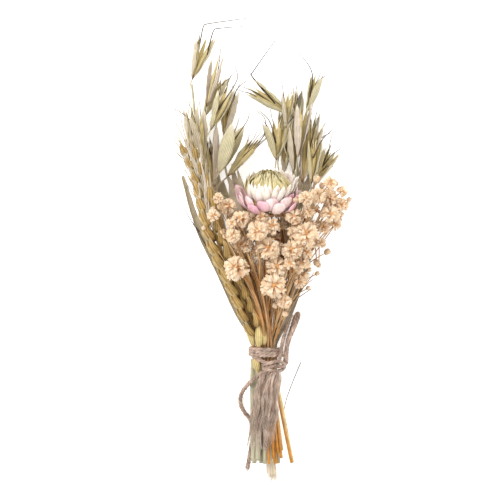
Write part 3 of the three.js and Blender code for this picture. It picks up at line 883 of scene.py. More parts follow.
# %% Oats
# how far the foot is shifted sideways, and the way of each culm above the tie
OAT_ROUTES = {
    "left": (0, [
        (-5.6, 11, 6), (-10.6, 22, 3.4), (-17.6, 48, 2.2), (-25, 78, 2.4), (-31, 100, 3.2),
        (-33.6, 122, 5.2)]),
    "middle": (0, [
        (-4.6, 22, 2), (-9.2, 48, 1.9), (-14.4, 70, 2.6), (-18.4, 84, 4.2), (-18.9, 95.2, 5.1)]),
    "right": (1.6, [
        (6.2, 20, 3), (9.6, 50, 1.1), (13, 70, 1.3), (14.2, 84, 3.4), (13.7, 93.4, 3.9)]),
}
# number, stalk, where it branches off, base, tip, glume half width, tone, opening, roll, florets
SPIKELETS = [
    (1, "left", 0.97, (-33.6, 123.6, 5.5), (-26.6, 144.6, 6.5), 3.1, 0.45, 15, 20, 2),
    (2, "left", 0.8, (-28.4, 106.6, 5.5), (-19.6, 127, 6.5), 3.3, 0.15, 14, -15, 3),
    (3, "left", 0.62, (-28, 86, 11), (-31.6, 110.2, 11.5), 3.0, 0.85, 12, 30, 1),
    (4, "left", 0.52, (-23.2, 74.5, 6.6), (-26.4, 103.6, 6.6), 3.2, 0.9, 12, -30, 1),
    (5, "left", 0.66, (-32.4, 87, 9.4), (-34.4, 113, 9), 2.9, 0.7, 12, 35, 1),
    (6, "left", 0.86, (-26.6, 111, 9.4), (-21.6, 136, 9.6), 2.3, 1.0, 10, -30, 0),
    (7, "middle", 0.93, (-25.1, 100.3, 12), (-17.4, 120.2, 14), 3.2, 0.35, 14, 25, 2),
    (8, "middle", 0.97, (-18.9, 96.5, 5.2), (-16.0, 119.1, 6.5), 3.2, 0.6, 13, -20, 2),
    (9, "middle", 0.75, (-21.4, 80.8, 13.5), (-12.2, 104, 14), 4.3, 0.05, 15, 60, 1),
    (10, "middle", 0.7, (-17.7, 79.5, 8.5), (-4.1, 97.6, 8.5), 2.8, 0.1, 9, 0, 4),
    (11, "right", 0.9, (11.8, 107.0, 9.4), (-8.4, 121.6, 9), 3.2, 0.1, 12, 10, 3),
    (12, "right", 0.97, (13.6, 93.5, 4), (12.6, 119.7, 3.2), 4.0, 0.15, 14, 40, 1),
    (13, "right", 0.88, (18.6, 109, 5), (23.2, 126.4, 6), 3.1, 0.2, 13, -25, 3),
    (14, "right", 0.86, (8.8, 101, 13.4), (10.2, 119.2, 14.6), 2.7, 0.5, 13, 20, 2),
    (15, "right", 0.84, (4.6, 86.8, 8.4), (5, 106.6, 10), 4.4, 0.1, 24, 8, 3),
    (16, "right", 0.8, (6.4, 91.5, 3.2), (8.8, 112.6, 3.4), 3.0, 0.7, 12, -35, 1),
    (17, "right", 0.7, (12.2, 81, 9.6), (13.4, 105.6, 11), 3.1, 0.85, 12, 30, 1),
    (18, "right", 0.68, (16.3, 76.5, 9), (22, 105.9, 8.6), 3.3, 0.6, 12, -10, 3),
    (19, "right", 0.66, (20.2, 76, 14.6), (22.0, 97.6, 14.6), 2.8, 0.0, 12, 15, 3),
    (20, "right", 0.6, (21.2, 75, 5), (30.4, 92.4, 4.6), 3.1, 0.3, 14, 5, 4),
    (21, "right", 0.74, (14.2, 88, 14.6), (17.4, 114, 13.6), 3.0, 0.95, 11, 25, 1),
    (22, "right", 0.72, (19.4, 86, 2.8), (21.6, 110, 2.4), 3.0, 0.75, 12, 30, 1),
    (23, "right", 0.76, (8.2, 81, 3.4), (10.4, 103, 7.6), 3.0, 0.5, 12, -20, 2),
]
AWNS = {
    1: [[(-31, 134, 6.5), (-29.2, 144, 7.2), (-28.2, 148.1, 7.5), (-26.4, 149.1, 7.6),
         (-16, 150.6, 8), (-4.5, 152.2, 8)],
        [(-26.8, 135, 6.5), (-24.6, 143.4, 7.6), (-23.5, 146.2, 8), (-21.5, 147, 8), (-9.5, 148, 8)]],
    2: [[(-24.4, 116, 6.5), (-21.4, 130, 7.5), (-20.5, 138, 8)]],
    3: [[(-30, 97, 12), (-35, 106, 12.5), (-42.2, 111, 12)]],
    4: [[(-25, 90, 7), (-29, 104, 8), (-30, 114, 8)]],
    7: [[(-21.5, 110, 13), (-13.2, 122.9, 13), (-14, 129.6, 13)]],
    8: [[(-17.6, 107, 6), (-13.4, 119, 7), (-8, 124, 7)]],
    9: [[(-16.5, 93, 14), (-9.1, 103.8, 14), (-7.4, 108, 14)]],
    10: [[(-12.5, 87, 9), (-1.5, 97.6, 9.5), (-0.3, 105.3, 9.5), (-3.9, 109.5, 9.5)],
         [(-11.5, 87, 9), (-4, 93.4, 9.2), (1.6, 98.4, 9)]],
    11: [[(4, 113, 9.5), (-6, 125, 9)], [(4, 112, 9), (-4, 117.5, 9), (-10.7, 120.6, 9)],
         [(-1, 118.5, 9.6), (-6.4, 125.4, 9), (-5.4, 128, 9), (5.7, 143.6, 9)]],
    12: [[(13, 107, 4), (12.3, 121.9, 5)], [(13.4, 107, 4), (14.6, 119.3, 5)]],
    13: [[(20.6, 116, 6), (24, 123, 6), (27.9, 126.3, 6)],
         [(20, 116, 6), (20.8, 127.5, 6), (14.1, 137.4, 6)]],
    15: [[(4.6, 95, 9.5), (1.5, 105, 10), (-3.5, 110, 10)]],
    18: [[(19, 90, 9), (23.2, 106.4, 9)], [(19.4, 90, 9), (24.6, 97, 9), (29.1, 99.7, 9)]],
    19: [[(21, 88, 15), (25, 96, 15), (30, 101, 14)]],
    20: [[(25, 84, 5), (30, 90, 5), (34.3, 93, 5)], [(25, 84, 5), (29.7, 94.5, 5)],
         [(23.6, 81, 5), (27.6, 84.6, 5), (30.7, 84.7, 5)]],
}
# route, half width and tone of the thin leaves along each stalk
FLAG_LEAVES = {
    "left": [([(-17.6, 48, 3.4), (-22.4, 66, 5), (-29, 90, 5.6)], 2.3, 0.2),
             ([(-20, 58, 3.6), (-22, 76, 5), (-25.6, 98, 5)], 2.0, 0.0)],
    "middle": [([(-9.4, 44, 3.4), (-11, 62, 5), (-15.6, 86, 5.4)], 2.4, 0.1),
               ([(-11, 52, 3.6), (-10.4, 68, 6), (-13, 84, 7)], 2.0, 0.5),
               ([(-8.4, 50, 5), (-12.6, 64, 9), (-16.6, 80, 10)], 2.8, 0.0)],
    "right": [([(9.4, 44, 2.8), (8.6, 66, 4.6), (8, 88, 6)], 2.4, 0.0),
              ([(11, 54, 3), (14, 72, 4.4), (18.6, 92, 5)], 2.5, 0.6),
              ([(12.6, 62, 3.2), (18.6, 76, 4), (24.6, 88, 4.4)], 2.0, 0.1),
              ([(10, 40, 3), (16.6, 54, 4), (22, 70, 5)], 2.2, 0.2)],
}
print("the table holds", len(SPIKELETS), "spikelets, of which", len(AWNS), "have awns of their own")

# %% [markdown]
# ## One spikelet
# The glumes lean out to both sides by the opening angle, and the whole spikelet is rolled about
# its axis, so that some are seen from the side and some from the front. The florets fan out
# between the glumes, one behind the other.

# %% One spikelet
AWNED = 0.5  # the share of florets with a short awn
HAIRS_AT_FLORET = 5


def boat_line(base, axis, side, length, opening, bow, steps=10):
    """The middle line of a husk that leans out from the axis and bows on its way."""
    line = []
    for i in range(steps + 1):
        t = i / steps
        out = math.tan(opening) * t + bow * math.sin(math.pi * t) - bow * 0.9 * t * t
        line.append(base + (axis * t + side * out) * length)
    return line


def spikelet(bm, base, tip, half_width, tone, opening, roll, florets, rng):
    """Two glumes, and a fan of florets between them. The angles are in degrees."""
    axis = (tip - base).normalized()
    length = (tip - base).length
    flat = axis.cross(UP).normalized()
    side = Matrix.Rotation(math.radians(roll), 3, axis) @ flat
    for sign in (1, -1):
        long = length * (1.0 if sign == 1 else rng.uniform(0.86, 0.96))
        line = boat_line(base, axis, side * sign, long, math.radians(opening) * 0.95, 0.04)
        shade = min(1, max(0, tone + rng.uniform(-0.3, 0.3)))
        blade(bm, line, half_width * 0.98, 0.95, pointed(0.52, 0.7), -side * sign, 8, 0.13, shade, 0,
              crumple=0.6, twist=rng.uniform(-0.4, 0.4), seed=rng.randrange(99))
    across = axis.cross(side)
    for k in range(florets + 1):
        fan_angle = math.radians(opening) * 0.9 * ((k + 0.5) / (florets + 1) * 2 - 1)
        way = axis * math.cos(fan_angle) + side * math.sin(fan_angle) + across * rng.uniform(-0.08, 0.08)
        way.normalize()
        lift = across * (1 if k % 2 else -1)
        start = base + (axis * (0.6 + 0.9 * (k % 2)) + lift * 0.5) * MM
        line = boat_line(start, way, lift, length * rng.uniform(0.84, 1.0), 0.0, 0.03, 9)
        blade(bm, line, half_width * 0.52, 1.5, pointed(0.45, 0.8), -lift, 6, 0.16, rng.random(), 1,
              seed=rng.randrange(99))
        if rng.random() < AWNED:
            onward = (way + side * fan_angle * 1.5 + lift * 0.05).normalized()
            far = line[-2] + onward * rng.uniform(5, 10) * MM
            bow = line[-2].lerp(far, 0.5) + side * rng.uniform(-0.5, 0.5) * MM
            bristle = smooth_line([line[-3], line[-2], bow, far], 8)
            tube(bm, bristle, tapering(0.2, 0.1), 5, rng.random(), 2)
        for _ in range(HAIRS_AT_FLORET):
            lean = (axis + Vector([rng.uniform(-0.5, 0.5) for _ in range(3)])).normalized()
            hair(bm, start, lean, rng.uniform(2, 4) * MM, rng, 0.05, rng.random(), 0.0, 2)


def awn(bm, route, rng, thick=0.36, finish=2):
    """A bristle: dark and stiff at first, then as fine as hair."""
    line = stem_line(route, 0.9)
    tube(bm, line, tapering(thick, 0.15, 0.8), 5, rng.random(), finish)


print("a spikelet has two glumes and up to", max(row[-1] for row in SPIKELETS) + 1, "florets")

# %% [markdown]
# ## The oat stalks
# Each stalk is one long straw from its cut foot to its last spikelet. A thin branch sags from it
# to every other spikelet, and a few flag leaves lie along it.

# %% The oat stalks
oat_rng = random.Random(11)
oat_lines = {}
for side_name, (foot_shift, onward) in OAT_ROUTES.items():
    foot = below(NECK[f"oat_{side_name}"], FOOT_Y, foot_shift)
    oat_lines[side_name] = stem_line(foot + onward)
oat_stalks = {side_name: new_piece() for side_name in OAT_ROUTES}
OAT_JOINTS = (0.28, 0.52, 0.7, 0.84)
for side_name, bm in oat_stalks.items():
    tube(bm, oat_lines[side_name], culm(1.0, 0.5, OAT_JOINTS), 10, 0.2, hollow=STRAW_HOLE)
for number, side_name, share, base, tip, half_width, tone, opening, roll, florets in SPIKELETS:
    base, tip = spot(*base), spot(*tip)
    axis = (tip - base).normalized()
    culm_line = oat_lines[side_name]
    start = culm_line[int(share * (len(culm_line) - 1))]
    gap = (base - start).length
    sag = Vector((0, 0, -0.05 * gap))
    branch = [
        start,
        start.lerp(base, 0.35) + sag + axis * 0.05 * gap,
        base - axis * 0.25 * gap + sag,
        base + axis * 0.6 * MM,
    ]
    tube(oat_stalks[side_name], smooth_line(branch, 16), tapering(0.28, 0.36, 2), 6, 0.35)
    bm = new_piece()
    spikelet(bm, base, tip, half_width, tone, opening, roll, florets, oat_rng)
    for route in AWNS.get(number, []):
        awn(bm, route, oat_rng)
    finished(bm, f"oat_husks_{number:02d}", [HUSK, FLORET, AWN], "oat_husk",
             [f"oat_spikelet_{number:02d}"])
for side_name, bm in oat_stalks.items():
    for route, half_width, tone in FLAG_LEAVES[side_name]:
        blade(bm, stem_line(route, 2), half_width, 0.6, pointed(0.4, 0.6), UP, 6, 0.18, tone, 1,
              wave=0.2, crumple=0.5, twist=oat_rng.uniform(-0.7, 0.7), seed=oat_rng.randrange(99))
    finished(bm, f"oat_straw_{side_name}", [STRAW, LEAF], "oat_straw", [f"oat_stalk_{side_name}"])
print("made", len(SPIKELETS), "oat spikelets on", len(oat_stalks), "stalks")

# %% [markdown]
# ## Wheat
# An ear of wheat is a braid: spikelets sit left and right of the axis in turn, and each one is
# a fan of three plump florets. A floret is a swollen tube inside a boat-shaped husk that runs
# out to a point, and thin pale chaff clasps it from outside.

# %% Wheat
WHEAT_FRONT = [
    (-4.4, 9, 12.6), (-7.2, 16.2, 15), (-11.9, 27.9, 18), (-17.3, 40, 20), (-22.1, 52.2, 21),
    (-25.5, 63.9, 21), (-28.7, 76, 20), (-32.6, 86.5, 18.6), (-35.4, 93, 17.4),
]
WHEAT_BACK = [(-2.2, 12, 8), (-4.9, 22, 7.4), (-8, 34, 7.2), (-10.6, 45, 7.4), (-12.2, 52, 7.8)]


def floret(bm, base, axis, outward, length, girth, tone, rng, finish=0):
    """A plump floret in its pointed husk."""
    line = boat_line(base, axis, outward, length, 0.04, 0.1, 8)
    plump = lambda share: math.sin(math.pi * min(1, share + 0.04) ** 0.8) ** 0.75
    body = lambda share: girth * max(0.05, plump(share)) * MM
    tube(bm, line, body, 10, tone, finish, 0.85)
    cover = [p + outward * (girth * 0.55 * math.sin(math.pi * i / 8) + 0.1) * MM
             for i, p in enumerate(line)]
    cover[-1] = line[-1] + axis * 1.2 * MM
    blade(bm, cover, girth * 1.45, 1.25, pointed(0.42, 0.7), -outward, 6, 0.14, tone, finish,
          seed=rng.randrange(99))


# how far a floret leans to its side, how far towards the front, its length and its girth
FAN_OF_THREE = ((0.3, -0.8, 8.6, 1.5), (0.75, -0.1, 9.6, 1.6), (0.42, 0.62, 10.4, 1.95))


def ear(bm, line, rows, rng, size=1.0, bristles_from=2.0):
    """An ear along the line. Bristles stand on its florets from the share bristles_from on."""
    frames = carried_frames(line)
    tube(bm, line, tapering(0.9, 0.6), 8, 0.2)
    for row in range(rows):
        share = (row + 0.2) / (rows + 0.6)
        along, side, above = frames[int(share * (len(line) - 1))]
        centre = line[int(share * (len(line) - 1))]
        hand = side * (1 if row % 2 else -1)
        swell = size * (0.72 + 0.28 * math.sin(math.pi * min(1, share * 1.05 + 0.1)))
        for spread, lift, long, girth in FAN_OF_THREE:
            lean = (along + hand * spread * 0.5 + above * lift * 0.3).normalized()
            outward = (hand * (0.35 + spread) + above * lift).normalized()
            outward = (outward - lean * outward.dot(lean)).normalized()
            base = centre + (hand * (0.5 + spread * 1.2) + above * lift * 1.7) * swell * MM
            reach = long * swell * rng.uniform(0.94, 1.05)
            floret(bm, base, lean, outward, reach * MM, girth * swell, rng.random(), rng)
            if share > bristles_from and lift > -0.5:
                tip = base + lean * reach * 0.9 * MM
                onward = (lean + along * 0.8 + outward * 0.15).normalized()
                far = tip + onward * rng.uniform(9, 17) * MM
                bow = tip.lerp(far, 0.5) + outward * rng.uniform(-0.8, 1.2) * MM
                bristle = smooth_line([tip, bow, far], 10)
                tube(bm, bristle, tapering(0.2, 0.08), 5, rng.random(), 1)
        for lift in (-0.7, 0.35):
            outward = (hand * 1.0 + above * lift).normalized()
            lean = (along + hand * 0.42 + above * lift * 0.22).normalized()
            outward = (outward - lean * outward.dot(lean)).normalized()
            start = centre + (outward * 2.5 - along * 0.5) * swell * MM
            husk = boat_line(start, lean, outward, 8.4 * swell * MM, 0.06, 0.08, 7)
            blade(bm, husk, 1.9 * swell, 1.0, pointed(0.4, 0.7), -outward, 6, 0.12, rng.random(), 1,
                  crumple=0.2, seed=rng.randrange(99))


print("an ear's spikelet has", len(FAN_OF_THREE), "florets")

# %% [markdown]
# ## The two ears
# The long ear lies in front. It has a few long florets at its foot, one of which hangs down
# through the tie, long bristles at its top, and papery strips of husk over its upper half.
# The short ear looks out from behind it.

# %% The two ears
EAR_ROWS = 27
SHORT_EAR_ROWS = 12
PAPERY_STRIPS = 34
wheat_rng = random.Random(21)
front_bm = new_piece()
front_line = stem_line(WHEAT_FRONT, 0.8)
ear(front_bm, front_line, EAR_ROWS, wheat_rng, bristles_from=0.62)
# base, tip and girth
LOW_FLORETS = [
    ((-3.2, 2.4, 12.6), (-3.4, 15.5, 14.8), 1.6), ((-5.4, 3.0, 11.4), (-9.2, 16.5, 13.4), 1.5),
    ((-0.9, 3.2, 11.2), (-1.0, 17, 13), 1.5), ((-5.0, -1.0, 11.2), (-3.3, -9.2, 10.6), 1.8),
]
for base, tip, girth in LOW_FLORETS:
    base, tip = spot(*base), spot(*tip)
    reach = tip - base
    floret(front_bm, base, reach.normalized(), UP, reach.length, girth, 0.9, wheat_rng, 3)
LONG_BRISTLES = [
    [(-33, 88, 18.5), (-38, 99, 18), (-42.7, 107.4, 17)],
    [(-34, 90, 18), (-37.4, 102, 18), (-38.6, 110, 17)],
    [(-34, 90, 18), (-35, 104, 17), (-34, 116, 15)],
    [(-31, 84, 20), (-33.5, 97, 19), (-36, 108, 17)],
    [(-26, 66, 22), (-29.6, 84, 21), (-33, 98, 19)],
    [(-22.5, 54, 23), (-28, 72, 22), (-33.6, 90, 20)],
    [(-18, 42, 22), (-24, 62, 23), (-30.5, 82, 22)],
    [(-28, 78, 21), (-27.5, 92, 20), (-30, 104, 18)],
]
for route in LONG_BRISTLES:
    awn(front_bm, route, wheat_rng, 0.26, 1)
front_frames = carried_frames(front_line)
for _ in range(PAPERY_STRIPS):
    share = wheat_rng.uniform(0.57, 0.93)
    k = int(share * (len(front_line) - 1))
    along, side, above = front_frames[k]
    away = side * wheat_rng.uniform(-2.8, 1.2) + above * wheat_rng.uniform(1.2, 3.0)
    start = front_line[k] + away * MM
    way = along + side * wheat_rng.uniform(-0.14, 0.3) + above * wheat_rng.uniform(-0.15, 0.06)
    far = start + way.normalized() * wheat_rng.uniform(12, 24) * (1.15 - 0.4 * share) * MM
    bow = start.lerp(far, 0.5) + side * wheat_rng.uniform(-0.6, 0.6) * MM
    strip = smooth_line([start, bow, far], 10)
    blade(front_bm, strip, wheat_rng.uniform(0.4, 0.9), 0.9, pointed(0.35, 0.8), -above, 4, 0.12,
          wheat_rng.uniform(0.4, 1.0), 2, crumple=0.3, seed=wheat_rng.randrange(99))
finished(front_bm, "wheat_head_front", [WHEAT, CHAFF, HUSK, FLORET], "wheat_grain",
         ["wheat_ear_front"])
back_bm = new_piece()
ear(back_bm, stem_line(WHEAT_BACK, 0.8), SHORT_EAR_ROWS, wheat_rng, 0.92)
finished(back_bm, "wheat_head_back", [WHEAT, CHAFF], "wheat_grain", ["wheat_ear_back"])
print("the long ear has", EAR_ROWS, "spikelets, the short one", SHORT_EAR_ROWS)

# %% [markdown]
# ## One strawflower bract
# The flower leans towards the heads of the bunch, so it has directions of its own: along its
# axis, up and to the side. A bract starts on the disc, leans out by its first angle and bends
# to its last one.

# %% One strawflower bract
FLOWER_TILT = math.radians(26)
flower_axis = Vector((0, math.cos(FLOWER_TILT), math.sin(FLOWER_TILT)))
flower_up = Vector((0, -math.sin(FLOWER_TILT), math.cos(FLOWER_TILT)))
flower_side = flower_axis.cross(flower_up)
flower_middle = spot(1.0, 71.5, 18.5)
GOLDEN = math.pi * (3 - math.sqrt(5))
PINKEST = (-0.4, 1.05)  # where the outer bracts are the pinkest, in radians around the flower


def bract(bm, turn, radius, height, start_lean, end_lean, length, half_width, profile, curl, tone,
          finish, rng, curl_back=0.0):
    """One bract: its leans are angles up from the disc towards the flower's axis, in degrees."""
    out = flower_up * math.cos(turn) + flower_side * math.sin(turn)
    place = flower_middle + (out * radius + flower_axis * height) * MM
    line = [place.copy()]
    steps = 7
    for i in range(steps):
        t = (i + 0.5) / steps
        degrees = start_lean + (end_lean - start_lean) * min(1, t * 1.3)
        lean = math.radians(degrees - curl_back * max(0, t - 0.7) * 3)
        way = out * math.cos(lean) + flower_axis * math.sin(lean)
        place = place + way * length / steps * MM
        line.append(place.copy())
    lean = math.radians(start_lean)
    inward = flower_axis * math.cos(lean) - out * math.sin(lean)
    blade(bm, line, half_width, curl, profile, inward, 6, 0.16, tone, finish,
          crumple=0.25, twist=rng.uniform(-0.25, 0.25), seed=rng.randrange(99))


print("the flower leans", round(90 - math.degrees(FLOWER_TILT)), "degrees from upright")

# %% [markdown]
# ## The strawflower
# Its bracts spiral around the middle by the golden angle, as in every daisy. The outer ones are
# broad, pink and cupped upward. Pointed cream ones come next and flare out. The innermost
# are narrow and bend in over the middle, so that they make a thatched dome.

# %% The strawflower
# how many outer bracts, where they start, their first and last lean, their length and half width
OUTER_RINGS = ((12, 8.2, -5.5, -5, 78, 11.5, 3.6), (12, 8.0, -4.2, 5, 92, 10.5, 3.8))
CREAM_BRACTS = 46
DOME_BRACTS = 210
flower_rng = random.Random(31)
bract_bm = new_piece()
dome_bm = new_piece()
count = 0
for number, radius, height, first_lean, last_lean, length, half_width in OUTER_RINGS:
    for k in range(number):
        count += 1
        turn = count * GOLDEN
        jitter = flower_rng.uniform(-8, 8)
        tone = 0.7 * flower_rng.random() ** 1.6
        if max(math.cos(turn - angle) for angle in PINKEST) > 0.94:
            tone = 1.0
        bract(bract_bm, turn, radius, height, first_lean + jitter, last_lean + jitter,
              length * flower_rng.uniform(0.88, 1.1), half_width * flower_rng.uniform(0.85, 1.1),
              rounded(0.62), 0.85, tone, 0, flower_rng, 6)
for k in range(CREAM_BRACTS):
    count += 1
    turn = count * GOLDEN
    share = k / CREAM_BRACTS
    right = math.sin(turn)
    flare = 34 * max(0, right) + flower_rng.uniform(-8, 8)
    finish = 0 if right > -0.85 else 1
    bract(dome_bm, turn, 8.4 - 1.2 * share, -2.0 + 2 * share, 40, 96 + 20 * share - flare,
          11.0 - 1.0 * share, 2.0, pointed(0.42, 0.7), 0.8, flower_rng.random(), finish,
          flower_rng, -4)
for k in range(DOME_BRACTS):
    count += 1
    turn = count * GOLDEN
    share = k / DOME_BRACTS
    last_lean = 160 - 44 * share - 22 * flower_rng.random() ** 2
    length = (10.5 - 4.9 * share) * flower_rng.uniform(0.9, 1.14)
    bract(dome_bm, turn, 9.4 * (1 - share) ** 0.6 + 0.2, 0.4 + 5.0 * share, 60 + 18 * share,
          last_lean, length, 1.15 - 0.3 * share, pointed(0.4, 0.7), 0.9, flower_rng.random(), 1,
          flower_rng)
# the solid middle that all the bracts sit on: how high its rings are and how wide
cup = [flower_middle + flower_axis * h * MM for h in (-8, -7, -5.6, -3.6, -1.4, 0.8, 2.6, 3.6)]
cup_sizes = [1.2, 3.6, 6.4, 8.2, 8.4, 7.6, 5.4, 2.0]
tube(dome_bm, cup, lambda share: cup_sizes[round(share * 7)] * MM, 20, 0.3, 1)
finished(bract_bm, "strawflower_outer_bracts", [PINK], "flower_bract",
         [f"strawflower_bract_{i}" for i in range(1, 9)])
finished(dome_bm, "strawflower_inner_bracts", [CREAM, GREENISH], "flower_dome", ["strawflower_head"])
print("the strawflower has", count, "bracts")

# %% [markdown]
# ## Where the gypsophila flowers are
# Each sprig is a wiry stem that forks into twigs with a double flower on each. In the table a
# sprig is the places that its stem passes and then its flowers, each with its place and its
# radius. More flowers sit half hidden behind these, and brown leaves darken the middle: their
# dark brown is partly the leaves' own colour and partly painted shade deep in the bunch.

# %% Where the gypsophila flowers are
SPRIG_NECK = [
    (-0.6, 3.85), (0.95, 3.7), (2.4, 3.15), (1.9, 1.6), (3.6, 2.1), (3.35, 0.5), (4.6, -0.7),
]
SPRIGS = [
    ([(-1.4, 14, 18), (-5.5, 28, 25)], [
        (-13.2, 39, 30, 4.6), (-14.6, 53, 31, 2.8), (-15.4, 58.6, 30, 2.1), (-21, 69.6, 29, 2.1),
        (-23.3, 62, 29.4, 2.4)]),
    ([(0.6, 14, 17), (-3, 32, 24)], [
        (-10.4, 49, 23.4, 3.6), (-11.4, 60.4, 27.2, 3.2), (-17, 66.4, 24.8, 3.1), (-4, 55, 30.4, 3.8)]),
    ([(1.2, 14, 14.6), (0, 30, 20)], [
        (0.8, 47.2, 27.4, 4.3), (4.6, 39.4, 25.6, 3.8), (2.6, 57, 25.6, 3.1), (-4, 45.4, 20.6, 3.0),
        (-1.6, 61.4, 24.6, 2.5), (6.2, 47.4, 21.4, 2.3)]),
    ([(4, 12, 12.4), (5.6, 22, 19.5)], [
        (3.2, 31, 27.6, 4.6), (7.9, 24.2, 24.6, 2.7), (9.6, 37.4, 19, 2.4), (-3.4, 37.4, 18, 2.8),
        (10.2, 40.8, 27.6, 2.4)]),
    ([(6, 14, 12.6), (9.6, 28, 17)], [
        (11.4, 46.8, 27, 3.6), (17.6, 53.6, 27.8, 4.7), (15.6, 41, 21.4, 3.2), (14.6, 33, 17.6, 2.7),
        (17.8, 45.4, 22.4, 2.6)]),
    ([(6.4, 16, 9.4), (11, 38, 12)], [
        (12.4, 61.4, 24, 3.2), (18.6, 63.6, 26, 2.3), (17.4, 69.6, 31.6, 2.7), (22.8, 70.8, 24, 3.1),
        (22.6, 78.4, 22, 1.8), (28.4, 76.4, 24.6, 2.6), (12.2, 54.6, 23.4, 2.6)]),
    ([(7.2, 15, 6.6), (13.6, 38, 8)], [
        (27.6, 70.6, 18, 3.6), (33, 66.8, 15, 3.2), (28.4, 62.6, 21.6, 3.5), (25.6, 57, 14, 2.7),
        (23, 41, 9, 1.6), (33.8, 73, 21, 2.2), (31, 58.4, 14, 2.5), (24.4, 50, 16, 2.2)]),
]
BEHIND = {
    2: [(-7.6, 58.4, 20, 2.4), (-6.4, 62.4, 14, 2.6), (-6.2, 51.2, 16, 2.3)],
    3: [(-2.4, 62, 16, 2.6), (2.6, 62.4, 15, 2.4)],
    4: [(6.6, 56.8, 16.4, 2.7)],
    5: [(8.2, 62.4, 15.4, 2.6), (4.0, 52.4, 17, 2.4)],
    6: [(20.2, 58, 18, 2.5), (22, 64.4, 18, 2.4), (14.8, 48.6, 18, 2.3)],
    7: [(20.6, 50, 15.6, 2.3), (29, 67, 12, 2.4)],
}
LOW_LEAVES = {
    3: [([(0.8, 8, 9.4), (-0.6, 22, 12), (-2.6, 38, 14)], 2.0)],
    5: [([(3.6, 7, 8), (5.6, 20, 9.6), (7.6, 36, 12)], 2.0),
        ([(5.6, 34, 11), (6.4, 48, 13), (5.4, 62, 15)], 2.2)],
    6: [([(4.2, 10, 7), (9.6, 26, 8), (13.6, 44, 9)], 2.0),
        ([(11.6, 42, 9.4), (17, 56, 10), (21.6, 68, 11)], 2.2)],
}
print("the table holds", sum(len(heads) for via, heads in SPRIGS), "flowers in front and",
      sum(len(heads) for heads in BEHIND.values()), "behind")

# %% [markdown]
# ## A flower and a bud
# A flower is a pompom: small notched petals on short claws, spread over a ball by the golden
# angle, with ruffled rims. The petals of a dry one are uneven, so their leans and lengths
# vary. The smallest ones are buds that are still closed: petals wrapped into a ball.

# %% A flower and a bud
SMALL_HEAD = 1.95  # a head with a smaller radius is a bud
FULLNESS = 1.14  # the petals reach this much past the head's solid


def pompom(bm, centre, radius, tilt, rng, finish=1):
    """A double flower seen from every side: petals on a ball, open towards the tilt direction."""
    radius *= FULLNESS
    petals = 54 if radius > 3 else 38
    ball = bmesh.new()
    tone_note = notes(ball)[1]
    bmesh.ops.create_icosphere(ball, subdivisions=1, radius=radius * 0.46 * MM,
                               matrix=Matrix.Translation(centre))
    # The ball carries no share note, so it wears the petals' root colour: painted shade in the flower's
    # middle.
    for v in ball.verts:
        v[tone_note] = 1.0
    add_to(bm, ball, finish)
    aside = tilt.orthogonal().normalized()
    other = tilt.cross(aside)
    for k in range(petals):
        lean = max(0.05, 1.75 * math.sqrt((k + 0.5) / petals) + rng.uniform(-0.22, 0.22))
        turn = k * GOLDEN + rng.uniform(-0.45, 0.45)
        step = radius * rng.uniform(0.2, 0.3)
        flat = aside * math.cos(turn) + other * math.sin(turn)
        line = [centre + (tilt * math.cos(lean) + flat * math.sin(lean)) * radius * 0.3 * MM]
        for i in range(3):
            angle = min(2.0, lean + 0.1 + 0.3 * i + rng.uniform(-0.25, 0.25))
            line.append(line[-1] + (tilt * math.cos(angle) + flat * math.sin(angle)) * step * MM)
        inward = tilt * math.sin(lean) - flat * math.cos(lean)
        blade(bm, line, radius * rng.uniform(0.2, 0.3), 0.4, fan(), inward, 4, 0.1, rng.random(),
              finish, wave=0.1 * radius, teeth=0.06 * radius, twist=rng.uniform(-0.8, 0.8),
              seed=rng.randrange(99))


def bud(bm, centre, radius, tilt, rng, finish=1):
    """A closed flower: a few petals wrapped into a ball."""
    line = [centre + tilt * radius * h * MM for h in (-0.95, -0.7, -0.2, 0.35, 0.75, 0.95)]
    sizes = [0.25, 0.68, 0.95, 0.9, 0.6, 0.15]
    tube(bm, line, lambda share: sizes[round(share * 5)] * radius * MM, 10, 0.7, finish)
    aside = tilt.orthogonal().normalized()
    other = tilt.cross(aside)
    for k in range(9):
        turn = k * GOLDEN
        out = aside * math.cos(turn) + other * math.sin(turn)
        spread = rng.uniform(1.08, 1.3)
        wrap = []
        for a in (0.5, 1.1, 1.7, 2.2, 2.5):
            away = out * math.sin(a) * (0.9 + 0.1 * spread) - tilt * math.cos(a) * spread
            wrap.append(centre + away * radius * MM)
        blade(bm, wrap, radius * 0.6, 0.7, rounded(0.5), -out, 4, 0.1, rng.random(), finish,
              wave=0.12 * radius, teeth=0.08 * radius, seed=k)


trial_bm = new_piece()
pompom(trial_bm, spot(0, 0, 30), 3, UP, random.Random(0))
print("a trial flower has", len(trial_bm.faces), "faces")
trial_bm.free()

# %% [markdown]
# ## The sprigs
# A sprig's stem runs from its cut foot through the tie to its first flower. The other flowers
# get twigs that leave the stem one after another, and so do a few brown leaves, the half-hidden
# flowers and a number of tiny buds. The buds hang low, where they fill the gaps.

# %% The sprigs
TWIGS = 13  # extra twigs with a tiny bud, on each sprig
sprig_rng = random.Random(41)


def fork(bm, line, share, centre, lift, steps):
    """Grow a twig from a share of the stem's line to a flower, and give back its points."""
    start = line[int(share * (len(line) - 1))]
    middle = start.lerp(centre, 0.5) + Vector((0, 0.8, lift)) * MM
    twig = smooth_line([start, middle, centre], steps)
    tube(bm, twig, tapering(0.36, 0.26), 6, 0.5, 0)
    return twig


